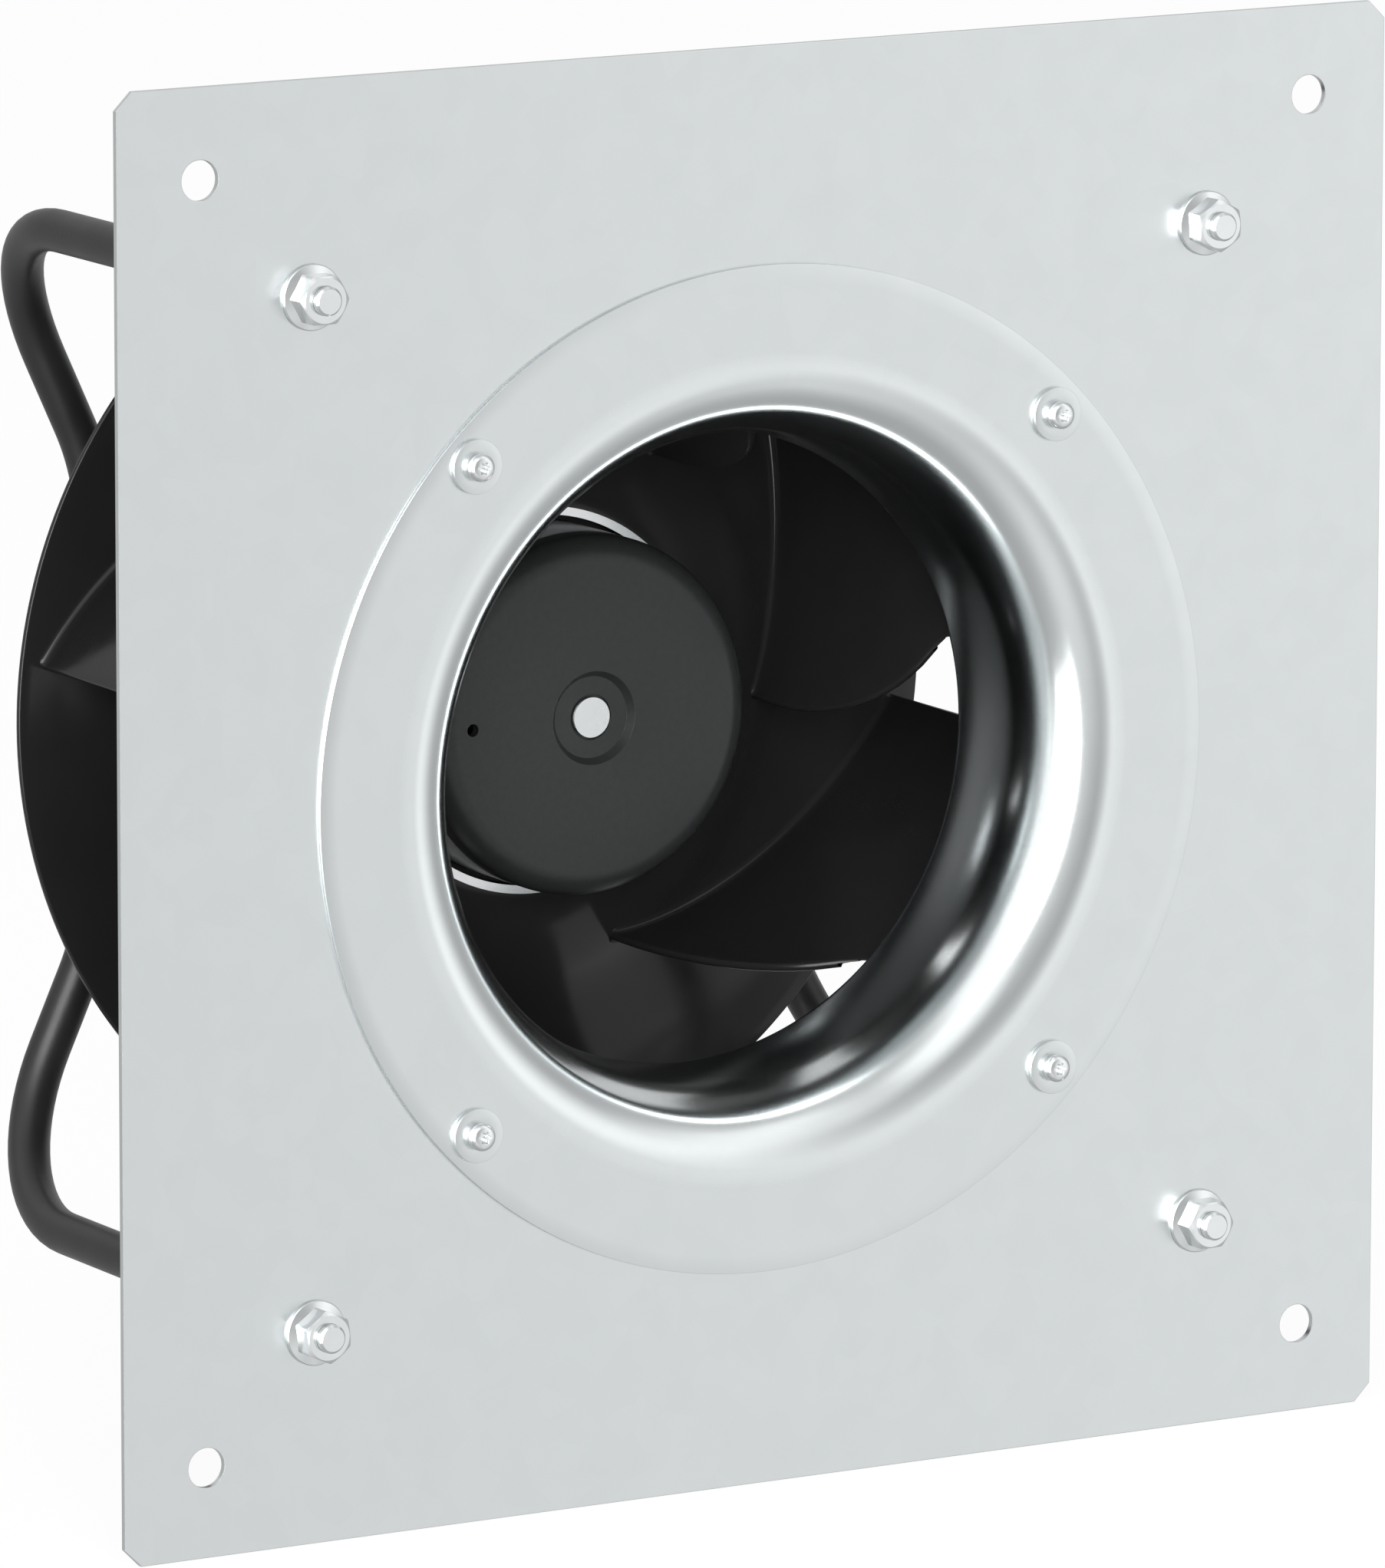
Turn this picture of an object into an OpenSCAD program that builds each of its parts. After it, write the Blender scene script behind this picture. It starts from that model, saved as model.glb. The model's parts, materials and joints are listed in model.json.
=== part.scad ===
// Plug fan: a square wall plate with an inlet nozzle, a backward-curved impeller on an
// external-rotor motor, and two bent rods that carry the motor behind the plate.
// Millimetres. The origin is the centre of the plate's front face, +Y runs rearward along the
// fan axis, +Z is up. Depths are distances behind the plate's front face.

/* [Mounting plate] */
// Side of the square plate
plate_w = 400; // [360:1:460]
// Thickness of the plate sheet
plate_t = 2; // [1.5:0.5:4]
// Cut at each plate corner
plate_corner = 5; // [2:1:12]
// Distance of the wall bolt holes from the plate's edges
wall_edge = 25; // [20:1:30]
// Diameter of a wall bolt hole
wall_hole_d = 11; // [7:0.5:14]

/* [Inlet nozzle] */
// Outer diameter of the nozzle flange
nozzle_flange_d = 280; // [270:1:300]
// Sheet thickness of the nozzle
nozzle_t = 1.2; // [1:0.1:3]
// Inner diameter at the nozzle's rear rim
throat_d = 178; // [170:1:182]
// Depth of the nozzle's rear rim
throat_depth = 44; // [40:1:48]
// Radius of the rounded lip at the mouth
lip_r = 16; // [12:1:20]
// Turn of the lip before the long inlet curve begins
lip_turn = 67; // [55:1:75]
// Gap between the nozzle's outside and the plate's opening
nozzle_gap = 3; // [1:0.5:6]

/* [Nozzle fasteners] */
// Pitch circle of the nozzle screws
nozzle_screw_pcd = 260; // [252:1:264]
// Screw thread diameter
nozzle_screw_d = 5; // [4:1:6]
// Screw head diameter
nozzle_head_d = 7.6; // [7:0.1:10]
// Screw head height
nozzle_head_h = 3.3; // [2:0.1:5]
// Washer diameter
washer_d = 15; // [12:1:18]
// Washer thickness
washer_t = 1.5; // [1:0.1:3]

/* [Struts] */
// Diameter of the bent rods
rod_d = 12; // [10:1:14]
// Pitch circle of the strut studs
stud_pcd = 400; // [390:1:410]
// Stud thread diameter
stud_d = 8; // [6:1:8]
// Stud length in front of the plate
stud_reach = 10.25; // [10:0.25:14]
// Depth of the rods' axis behind the motor
strut_depth = 190.5; // [186:0.5:200]
// Distance of the rods' upright runs from the fan axis
run_x = 106; // [98:1:115]
// Height of the knee where a rod leaves its upright run
knee_z = 64.5; // [58:0.5:72]
// Bend radius at the knee
knee_r = 70; // [40:1:80]
// Bend radius at the elbow behind the plate
elbow_r = 47; // [30:1:52]

/* [Strut nuts] */
// Nut size across flats
nut_af = 13; // [12:0.5:14]
// Nut height with its flange
nut_h = 8; // [6:0.5:9]
// Nut flange diameter
nut_flange_d = 18; // [16.5:0.5:20]
// Nut flange edge height
nut_flange_h = 1; // [0.8:0.1:2]

/* [Impeller] */
// Number of blades
blade_count = 6; // [5:1:7]
// Radius of the arc that each blade follows
blade_arc_r = 128; // [118:1:136]
// Radius of the circle that the arc centres lie on
blade_centre_r = 63.3; // [58:0.1:68]
// Turn of the first arc centre from straight up, clockwise from the inlet side
blade_phase = -29.7; // [-60:0.1:0]
// Blade thickness
blade_t = 2.4; // [1.5:0.1:4]
// Radius of the blades' leading edge at the hub
blade_in_r = 80; // [76:0.5:84]
// Width of the hub disc's rim outside the blades
blade_rim = 7.1; // [4:0.1:12]
// Depth where the leading edge starts to curve outward
lead_depth = 112; // [100:1:120]
// Radius of the leading edge's curve
lead_curve_r = 120; // [100:1:180]
// Radius of the hub disc
disc_r = 146.7; // [143:0.1:150]
// Thickness of the hub disc along the axis
disc_t = 2; // [1.5:0.1:3]
// Depth of the hub disc's flat front
disc_depth = 160; // [156:0.5:162]
// Depth of the hub lip round the rotor
hub_depth = 126.7; // [124:0.1:130]
// Width of the hub lip
hub_lip_w = 3.7; // [3:0.1:6]
// Slope of the hub cone, steeper where the disc leaves it less room
hub_cone = 34; // [30:1:38]
// Radius that blends the cone into the flat disc, smaller where there is less room
hub_blend_r = 87; // [60:1:95]
// Least width of the disc's flat rim
rim_flat = 8; // [4:0.5:10]
// Length of the hub collar on the carrier ring
collar_l = 15; // [10:1:18]
// Inner radius at the shroud's inlet
shroud_in_r = 94; // [92.5:0.1:96]
// Depth of the shroud's front edge
shroud_depth = 37; // [35:0.5:40]
// Straight length at the shroud's inlet
shroud_straight = 2; // [1:0.5:8]
// Radius of the shroud's curve
shroud_curve_r = 42; // [40:1:50]
// Slope of the shroud near its outlet
shroud_cone = 25; // [20:1:30]
// Step of the shroud's outlet edge inside the edge of the hub disc
shroud_rim = 1.7; // [0:0.1:4]
// Wall of the shroud
shroud_t = 2.4; // [1.5:0.1:3]

/* [Motor rotor] */
// Diameter of the rotor cup
rotor_d = 102.4; // [98:0.2:106]
// Depth of the rotor's front face
rotor_depth = 93.8; // [90:0.2:97]
// Depth of the rotor cup's open end
rotor_end = 150; // [146:1:152]
// Wall of the rotor cup
rotor_wall = 3; // [2:0.5:4]
// Radius of the rotor's front edge
rotor_edge_r = 7; // [4:0.5:9]
// Diameter of the recess round the shaft
recess_d = 26.6; // [22:0.2:30]
// Depth of that recess
recess_h = 2; // [1.5:0.5:4]
// How much smaller the recess is across at its floor, on the radius
recess_taper = 1.7; // [0.5:0.1:3]
// Diameter of the boss that holds the shaft
boss_d = 36; // [32:1:44]
// Length of the boss behind the front face
boss_l = 14; // [10:1:15]
// Diameter of the balance hole
balance_hole_d = 3.6; // [2:0.2:5]
// Distance of the balance hole from the axis
balance_hole_r = 39; // [30:1:41]
// Thickness of the magnets
magnet_t = 3; // [2:0.5:4]
// Number of magnets
magnet_count = 8; // [4:2:12]
// Air gap between magnets and stator
air_gap = 0.8; // [0.6:0.1:1.5]
// Wall of the steel carrier ring on the rotor
carrier_wall = 4.1; // [3:0.1:6]
// Width of the groove between the carrier ring's front and the rotor
carrier_groove_w = 1.7; // [0.5:0.1:2.5]
// Length of that groove along the axis
carrier_groove_l = 6; // [2:0.5:7]

/* [Shaft and bearings] */
// Shaft diameter
shaft_d = 12; // [10:1:14]
// Depth of the shaft's front end
shaft_depth = 95.1; // [94.5:0.1:96]
// Outer diameter of a bearing
bearing_d = 32; // [30:1:35]
// Width of a bearing
bearing_w = 10; // [9:1:11]
// Depth of the front bearing
front_bearing = 112; // [110.5:0.5:114]
// Depth of the rear bearing
rear_bearing = 160; // [158:0.5:161]
// Ball diameter
ball_d = 6; // [5:0.5:6]
// Balls in each bearing
ball_count = 7; // [6:1:8]

/* [Stator] */
// Depth of the lamination stack's front
stack_depth = 118; // [117:1:120]
// Length of the lamination stack
stack_l = 28; // [24:1:30]
// Number of teeth
tooth_count = 12; // [9:3:12]
// Width of a tooth
tooth_w = 6; // [4:0.5:7]
// Ring of steel behind the teeth
yoke_w = 6; // [4:0.5:8]
// Thickness of the winding insulators
insulator_t = 0.8; // [0.5:0.1:1.2]
// Thickness of a coil beside its tooth
coil_w = 2.5; // [1.5:0.5:3]

/* [Motor housing] */
// Wall of the bearing tube
tube_wall = 4; // [3:0.5:5]
// Diameter of the housing flange
flange_d = 136; // [130:1:140]
// Thickness of the housing flange
flange_t = 9; // [7:0.5:11]
// Diameter of the electronics barrel
barrel_d = 92; // [86:1:93]
// Wall of the electronics barrel
barrel_wall = 4.5; // [3:0.5:6]
// Length of the barrel behind the flange
barrel_l = 22.5; // [20:0.5:28]
// Floor under the electronics
floor_t = 3; // [2:0.5:4]
// Number of cooling fin places round the flange and barrel
fin_count = 36; // [24:4:40]
// Thickness of a cooling fin
fin_t = 2; // [1.5:0.1:2.5]
// Height of the fins in front of the flange
fin_h = 11; // [8:1:12]
// Reach of the fins beyond the barrel
fin_reach = 5; // [3:0.5:5.5]

/* [Motor bracket] */
// Thickness of the bracket sheet
bracket_t = 3; // [2:0.5:4]
// Height of the bracket's arms
arm_h = 70; // [50:1:84]
// Diameter of the bracket's round centre
bracket_d = 150; // [146:1:160]
// Arm length past the rods' axis
arm_over = 10; // [7:1:14]
// Corner radius of the arms
arm_corner = 8; // [4:1:10]
// Pitch circle of the motor screws
motor_pcd = 122; // [120:1:124]
// Motor screw diameter
motor_screw_d = 5; // [4:0.5:6]
// Motor screw head diameter
motor_head_d = 8.5; // [7:0.5:9]
// Motor screw head height
motor_head_h = 5; // [3:0.5:6]
// Thread length of a motor screw in the flange
motor_screw_l = 8; // [5:0.5:9]

/* [Electronics] */
// Thickness of the cover seal
seal_t = 0.8; // [0.5:0.1:1.5]
// Height of the electronics cover
cover_h = 6; // [4:0.5:8]
// Wall of the electronics cover
cover_wall = 2.5; // [1.5:0.5:3]
// Diameter of the cover screw bosses
lug_d = 10; // [9:0.5:11]
// Cover screw diameter
cover_screw_d = 4; // [3:0.5:5]
// Cover screw head diameter
cover_head_d = 7; // [6:0.5:8]
// Cover screw head height
cover_head_h = 2.6; // [2:0.2:3]
// Thickness of the circuit board
board_t = 1.6; // [1:0.2:2]
// Height of the posts under the board
board_rise = 5; // [3:0.5:6]
// Thread diameter of the cable gland
gland_d = 12; // [10:1:13]
// Gland size across flats
gland_af = 15; // [14:1:16]
// Length of the gland outside the housing
gland_l = 16; // [12:1:20]

/* [Fits] */
// Radial clearance of a screw or stud in its hole
hole_gap = 0.5; // [0.3:0.1:1]
// Radial clearance of a thread in its nut or tapped hole
thread_gap = 0.05; // [0.02:0.01:0.1]
// Clearance of the motor barrel in its bracket
barrel_gap = 1.5; // [1:0.5:2]
// Running clearance between the balls and the outer races
ball_gap = 0.3; // [0.2:0.05:0.4]

/* [Hidden] */
$fn = 64;
curve_steps = 12;
// Run of a cut past the face that it opens
cut_past = 1;
// Run of a joined piece into its neighbour
join_in = 1;
stud_x = stud_pcd / 2 * sin(45);
rod_slope = atan2(stud_x - run_x, stud_x - knee_z);
knee_reach = knee_r * tan(rod_slope / 2);
upright_l = knee_z - knee_reach;
slope_l = norm([stud_x - run_x, stud_x - knee_z]) - knee_reach - elbow_r;
stud_tip = 1;
screw_tip = 1;
bend_ease = 0.05;
bend_overlap = 1.5;
nut_turns = [24, 0, 0, 27];

wall_pitch = plate_w - 2 * wall_edge;
throat_r = throat_d / 2;
long_turn = 90 - lip_turn;
lip_centre = lip_r - nozzle_t;
long_r = (throat_depth - lip_centre + lip_r * cos(lip_turn)) / sin(long_turn);
mouth_r = throat_r + long_r * (1 - cos(long_turn)) + lip_r * sin(lip_turn);
plate_hole_r = mouth_r + nozzle_gap;
nozzle_screw_pitch = nozzle_screw_pcd * sin(45);
press_nut_d = nozzle_screw_d * 2;
press_nut_h = nozzle_screw_d * 0.8;
recess_core_d = nozzle_head_d * 0.46;
recess_lobe_d = nozzle_head_d * 0.14;
recess_lobe_r = nozzle_head_d * 0.22;
recess_sink = nozzle_head_h * 0.7;
nut_skirt_h = nut_flange_h + nut_h * 0.15;
nut_face_d = nut_af * 0.95;
nut_bevel = 30;

rotor_r = rotor_d / 2;
edge_centre = [rotor_r - rotor_edge_r, rotor_depth + rotor_edge_r];
shaft_r = shaft_d / 2;
carrier_r = rotor_r + carrier_wall;
hub_lip_r = carrier_r + hub_lip_w;
blade_out_r = disc_r - blade_rim;
shroud_out_r = disc_r - shroud_rim;
hub_rise = disc_depth - hub_depth;
rim_r = disc_r - rim_flat;
blend_least = 10;
hub_slope = max(hub_cone, atan2(hub_rise, rim_r - hub_lip_r - blend_least));
cone_meet_r = hub_lip_r + hub_rise / tan(hub_slope);
blend_room = min(rim_r - cone_meet_r, hub_rise / sin(hub_slope) - hub_lip_w);
blend_reach = min(hub_blend_r * tan(hub_slope / 2), blend_room);
blend_r = blend_reach / tan(hub_slope / 2);
blend_end_r = cone_meet_r + blend_reach;
lead_turn = asin((lead_depth - shroud_depth) / lead_curve_r);
carrier_inset = 2;
carrier_l = collar_l - carrier_inset;
magnet_r = rotor_r - rotor_wall;
magnet_over = 2;
magnet_gap_turn = 2;
stator_r = magnet_r - magnet_t - air_gap;

bearing_r = bearing_d / 2;
ball_circle_r = (shaft_r + bearing_r) / 2;
race_land = ball_d * 0.3;
tube_r = bearing_r + tube_wall;
shoulder_w = 2;
shoulder_r = bearing_r - shoulder_w;
spring_t = 0.8;
spring_w = 3;
ring_t = 1;
ring_w = 3;
ring_groove = 0.6;
ring_open = 3;
ring_depth = rear_bearing + bearing_w;
shaft_over = 6;
shaft_end = ring_depth + shaft_over;
shaft_bevel = 0.3;
cap_t = 2;

bracket_rear = strut_depth - rod_d / 2;
bracket_front = bracket_rear - bracket_t;
flange_front = bracket_front - flange_t;
barrel_r = barrel_d / 2;
barrel_in_r = barrel_r - barrel_wall;
barrel_end = bracket_front + barrel_l;
floor_depth = bracket_front + floor_t;
tube_over = 2;
tube_front = front_bearing - tube_over;
lug_inset = 1;
lug_r = barrel_r - lug_inset;
lug_turn = 45;
lug_h = cover_h / 2;
lug_gap = 2;
lug_depth = bracket_rear + motor_head_h + lug_gap;
fin_root_gap = 8;
fin_in_r = tube_r + fin_root_gap;
fin_rim = 1;
fin_out_r = flange_d / 2 - fin_rim;
fin_end_gap = 2;
fin_free_lug = 14;
fin_free_gland = 22;
seal_inset = 0.5;
cover_bevel = 2;
board_gap = 2.5;
board_r = barrel_in_r - board_gap;
board_depth = floor_depth + board_rise;
post_r = 3;
post_inset = 7;
post_circle_r = board_r - post_inset;
capacitor_d = 11;
capacitor_h = 8;
choke = [14, 16, 7];
driver = [20, 14, 3];
terminal = [9, 12, 6];
gland_gap = 0.8;
gland_depth = bracket_rear + gland_af / 2 / cos(30) + gland_gap;
gland_boss_h = 3;
gland_boss_d = gland_af + 2;
gland_seat_r = barrel_r + gland_boss_h;
gland_hex_h = gland_l * 0.3;
gland_nut_h = gland_l * 0.8;
gland_nut_d = gland_af - 1;
gland_mouth_d = gland_d * 0.75;
gland_bore_d = gland_d / 2;
bracket_hole_r = barrel_r + max(fin_reach, lug_d / 2 - lug_inset, gland_boss_h) + barrel_gap;

stack_in_r = tube_r;
yoke_r = stack_in_r + yoke_w;
tip_h = 2.2;
slot_open = 2.4;
tip_w = 2 * PI * stator_r / tooth_count - slot_open;
coil_gap = 1;
coil_in = yoke_r + coil_gap;
coil_out = stator_r - tip_h - coil_gap;
insulator_over = 0.5;

// Points on an arc, in [radius, depth] or any other plane
function arc_points(centre, r, from, to) =
    [for (i = [0 : curve_steps]) let (a = from + (to - from) * i / curve_steps)
        centre + r * [cos(a), sin(a)]];

// Inside and outside of the nozzle sheet, from the mouth to the rear rim
function nozzle_line(inset) = concat(
    arc_points([mouth_r, lip_centre], lip_r - inset, -90, -90 - lip_turn),
    arc_points([throat_r + long_r, throat_depth], long_r - inset, 180 + long_turn, 180));

// Front line of the hub, from its lip to the flat disc
function hub_line() = concat(
    [[hub_lip_r, hub_depth]],
    arc_points([blend_end_r, disc_depth - blend_r], blend_r, 90 + hub_slope, 90));

// Inside line of the shroud, and the same line moved out by the wall
function shroud_line(wall) = let (
        centre = [shroud_in_r + shroud_curve_r, shroud_depth + shroud_straight],
        turn = 90 - shroud_cone,
        bend_end = centre + shroud_curve_r * [-cos(turn), sin(turn)],
        rim = [shroud_out_r, bend_end[1] + (shroud_out_r - bend_end[0]) * tan(shroud_cone)])
    concat(
        [[shroud_in_r + wall, shroud_depth]],
        arc_points(centre, shroud_curve_r - wall, 180, 180 - turn),
        [rim + wall * [sin(shroud_cone), -cos(shroud_cone)]]);

// Turns a part drawn along +Z so that its axis runs rearward along +Y
module axial() rotate([-90, 0, 0]) children();

// Sheet drawn as seen from the front, from a depth rearward
module sheet(depth, t) translate([0, depth + t, 0]) rotate([90, 0, 0]) linear_extrude(t) children();

// Copies on a square pattern in the plane of the plate
module at_corners(pitch)
    for (sx = [-1, 1], sz = [-1, 1]) translate([sx * pitch / 2, 0, sz * pitch / 2]) children();

// Copies on a ring about the axis of a turned part
module on_ring(r, count, start = 0)
    for (i = [0 : count - 1]) rotate(start + i * 360 / count) translate([r, 0, 0]) children();

// Cut for a through hole, run past both faces
module bore(r, depth, l) translate([0, 0, depth - cut_past]) cylinder(r = r, h = l + 2 * cut_past);

// Flat ring or tube of a turned part
module tube(r_out, r_in, depth, l) translate([0, 0, depth]) difference() {
    cylinder(r = r_out, h = l);
    bore(r_in, 0, l);
}

// Hexagon across flats
module hexagon(af, h) cylinder(d = af / cos(30), h = h, $fn = 6);

// Rectangle with round corners
module rounded(w, h, r) union() {
    square([w - 2 * r, h], center = true);
    square([w, h - 2 * r], center = true);
    for (sx = [-1, 1], sy = [-1, 1])
        translate([sx * (w / 2 - r), sy * (h / 2 - r)]) circle(r);
}

module mounting_plate() color("lightgray") difference() {
    sheet(0, plate_t) difference() {
        intersection() {
            square(plate_w, center = true);
            rotate(45) square((plate_w - plate_corner) * sqrt(2), center = true);
        }
        circle(plate_hole_r);
    }
    at_corners(wall_pitch) axial() bore(wall_hole_d / 2, 0, plate_t);
    at_corners(2 * stud_x) axial() bore(stud_d / 2 + hole_gap, 0, plate_t);
    at_corners(nozzle_screw_pitch) axial() bore(nozzle_screw_d / 2 + hole_gap, 0, plate_t);
}

module inlet_nozzle() color("gainsboro") difference() {
    axial() rotate_extrude() polygon(concat(
        [[nozzle_flange_d / 2, 0], [nozzle_flange_d / 2, -nozzle_t]],
        nozzle_line(0),
        [for (p = [len(nozzle_line(nozzle_t)) - 1 : -1 : 0]) nozzle_line(nozzle_t)[p]]));
    at_corners(nozzle_screw_pitch) axial() bore(nozzle_screw_d / 2 + hole_gap, -nozzle_t, nozzle_t);
}

module nozzle_washers() color("lightgray")
    at_corners(nozzle_screw_pitch) axial()
        tube(washer_d / 2, nozzle_screw_d / 2 + hole_gap, -nozzle_t - washer_t, washer_t);

module nozzle_screws() color("silver") at_corners(nozzle_screw_pitch) axial() difference() {
    union() {
        translate([0, 0, -nozzle_t - washer_t - nozzle_head_h])
            cylinder(d = nozzle_head_d, h = nozzle_head_h);
        translate([0, 0, -nozzle_t - washer_t])
            cylinder(d = nozzle_screw_d, h = nozzle_t + washer_t + plate_t + press_nut_h + screw_tip);
    }
    translate([0, 0, -nozzle_t - washer_t - nozzle_head_h - cut_past]) {
        cylinder(d = recess_core_d, h = recess_sink + cut_past);
        on_ring(recess_lobe_r, 6) cylinder(d = recess_lobe_d, h = recess_sink + cut_past);
    }
}

module nozzle_press_nuts() color("silver") at_corners(nozzle_screw_pitch) axial()
    tube(press_nut_d / 2, nozzle_screw_d / 2 + thread_gap, plate_t, press_nut_h);

// Rod bend that starts at the origin heading +Z and turns toward +X. It is a hair thinner than
// the rod, and its ends run on inside the straight lengths that it joins.
module rod_bend(r, turn) let (over = asin(bend_overlap / r))
    translate([r, 0, 0]) rotate([90, 0, 0]) rotate(180 - turn - over)
        rotate_extrude(angle = turn + 2 * over) translate([r, 0]) circle(d = rod_d - 2 * bend_ease);

// One half of a strut: upright run, knee, sloping run, elbow, straight leg and threaded stud
module half_strut() {
    translate([run_x, strut_depth, 0]) {
        cylinder(d = rod_d, h = upright_l);
        translate([0, 0, upright_l]) {
            rod_bend(knee_r, rod_slope);
            translate([knee_r * (1 - cos(rod_slope)), 0, knee_r * sin(rod_slope)])
                rotate([0, rod_slope, 0]) {
                    cylinder(d = rod_d, h = slope_l);
                    translate([0, 0, slope_l]) rotate(-90) rod_bend(elbow_r, 90);
                }
        }
    }
    translate([stud_x, 0, stud_x]) axial() {
        translate([0, 0, plate_t]) cylinder(d = rod_d, h = strut_depth - elbow_r - plate_t);
        translate([0, 0, stud_tip - stud_reach]) cylinder(d = stud_d, h = stud_reach + plate_t - stud_tip);
        translate([0, 0, -stud_reach])
            cylinder(d1 = stud_d - 2 * stud_tip, d2 = stud_d, h = stud_tip);
    }
}

module strut() union() {
    half_strut();
    mirror([0, 0, 1]) half_strut();
}

module left_strut() color("dimgray") mirror([1, 0, 0]) strut();

module right_strut() color("dimgray") strut();

module flange_nut() difference() {
    union() {
        translate([0, 0, -nut_flange_h]) cylinder(d = nut_flange_d, h = nut_flange_h);
        translate([0, 0, -nut_skirt_h])
            cylinder(d1 = nut_af, d2 = nut_flange_d, h = nut_skirt_h - nut_flange_h);
        translate([0, 0, -nut_h]) intersection() {
            hexagon(nut_af, nut_h);
            cylinder(d1 = nut_face_d, d2 = nut_face_d + 2 * nut_h / tan(nut_bevel), h = nut_h);
        }
    }
    bore(stud_d / 2 + thread_gap, -nut_h, nut_h);
}

module strut_flange_nuts() color("silver") for (i = [0 : 3])
    translate([(i % 2 * 2 - 1) * stud_x, 0, (floor(i / 2) * 2 - 1) * stud_x])
        axial() rotate(nut_turns[i]) flange_nut();

module motor_bracket() color("dimgray") sheet(bracket_front, bracket_t) difference() {
    union() {
        circle(d = bracket_d);
        rounded(2 * (run_x + arm_over), arm_h, arm_corner);
    }
    circle(r = bracket_hole_r);
    on_ring(motor_pcd / 2, 4, lug_turn) circle(r = motor_screw_d / 2 + hole_gap);
}

module motor_screws() color("silver") axial() on_ring(motor_pcd / 2, 4, lug_turn) difference() {
    union() {
        translate([0, 0, bracket_rear]) cylinder(d = motor_head_d, h = motor_head_h);
        translate([0, 0, bracket_front - motor_screw_l])
            cylinder(d = motor_screw_d, h = motor_screw_l + bracket_t);
    }
    translate([0, 0, bracket_rear + motor_head_h / 2]) hexagon(motor_screw_d * 0.8, motor_head_h);
}

// Cooling fins in front of the flange and round the barrel, clear of the screws and the gland
module fins() for (i = [0 : fin_count - 1]) let (a = i * 360 / fin_count) {
    rotate(a) translate([fin_in_r, -fin_t / 2, flange_front - fin_h])
        cube([fin_out_r - fin_in_r, fin_t, fin_h + join_in]);
    if (abs(a % 90 - lug_turn) > fin_free_lug && abs(a - 90) > fin_free_gland)
        rotate(a) translate([barrel_r - join_in, -fin_t / 2, bracket_rear + fin_end_gap])
            cube([fin_reach + join_in, fin_t, barrel_end - bracket_rear - 2 * fin_end_gap]);
}

module stator_housing() color("silver") axial() difference() {
    union() {
        tube(tube_r, shoulder_r, tube_front, flange_front - tube_front + join_in);
        translate([0, 0, flange_front]) cylinder(d = flange_d, h = flange_t);
        translate([0, 0, bracket_front]) cylinder(r = barrel_r, h = barrel_l);
        on_ring(lug_r, 4, lug_turn) translate([0, 0, lug_depth])
            cylinder(d = lug_d, h = barrel_end - lug_depth);
        fins();
        rotate(90) translate([0, 0, gland_depth]) rotate([0, 90, 0])
            cylinder(d = gland_boss_d, h = gland_seat_r);
    }
    difference() {
        translate([0, 0, floor_depth]) cylinder(r = barrel_in_r, h = barrel_l);
        on_ring(post_circle_r, 4, lug_turn) translate([0, 0, floor_depth - join_in])
            cylinder(r = post_r, h = board_rise + join_in);
    }
    translate([0, 0, tube_front - cut_past])
        cylinder(r = bearing_r, h = tube_over + bearing_w + cut_past);
    translate([0, 0, front_bearing]) cylinder(r = shoulder_r, h = rear_bearing - front_bearing);
    translate([0, 0, rear_bearing - spring_t])
        cylinder(r = bearing_r, h = floor_depth - rear_bearing + spring_t + cut_past);
    on_ring(motor_pcd / 2, 4, lug_turn) translate([0, 0, bracket_front - motor_screw_l])
        cylinder(r = motor_screw_d / 2 + thread_gap, h = motor_screw_l + cut_past);
    on_ring(lug_r, 4, lug_turn) translate([0, 0, barrel_end - cover_h])
        cylinder(r = cover_screw_d / 2 + thread_gap, h = cover_h + cut_past);
    rotate(90) translate([0, 0, gland_depth]) rotate([0, 90, 0])
        translate([0, 0, barrel_in_r - barrel_wall])
            cylinder(r = gland_d / 2 + thread_gap, h = 2 * barrel_wall + gland_boss_h + cut_past);
}

module bearing_cap() color("silver") axial() translate([0, 0, floor_depth - cap_t])
    cylinder(r = bearing_r, h = cap_t);

module stator_core() color("slategray") axial() translate([0, 0, stack_depth]) linear_extrude(stack_l)
    difference() {
        union() {
            circle(yoke_r);
            intersection() {
                circle(stator_r);
                on_ring(0, tooth_count) union() {
                    translate([stack_in_r + join_in, -tooth_w / 2]) square([stator_r, tooth_w]);
                    translate([stator_r - tip_h, -tip_w / 2]) square([tip_h + join_in, tip_w]);
                }
            }
        }
        circle(stack_in_r);
    }

// Closed frame round one tooth, with the tooth along +X of the ring
module tooth_frame(inner_w, inner_l, wall, from, to)
    translate([from, 0, stack_depth + stack_l / 2]) difference() {
        translate([0, -inner_w / 2 - wall, -inner_l / 2 - wall])
            cube([to - from, inner_w + 2 * wall, inner_l + 2 * wall]);
        translate([-cut_past, -inner_w / 2, -inner_l / 2])
            cube([to - from + 2 * cut_past, inner_w, inner_l]);
    }

module winding_insulators() color("ivory") axial() on_ring(0, tooth_count)
    tooth_frame(tooth_w, stack_l, insulator_t, coil_in - insulator_over, coil_out + insulator_over);

module stator_windings() color("peru") axial() on_ring(0, tooth_count)
    tooth_frame(tooth_w + 2 * insulator_t, stack_l + 2 * insulator_t, coil_w, coil_in + coil_w, coil_out);

// Half section of a bearing ring between two radii, with the ball track cut out
module race(r_in, r_out, track_r) rotate_extrude() difference() {
    translate([r_in, 0]) square([r_out - r_in, bearing_w]);
    translate([ball_circle_r, bearing_w / 2]) circle(track_r);
}

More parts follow.
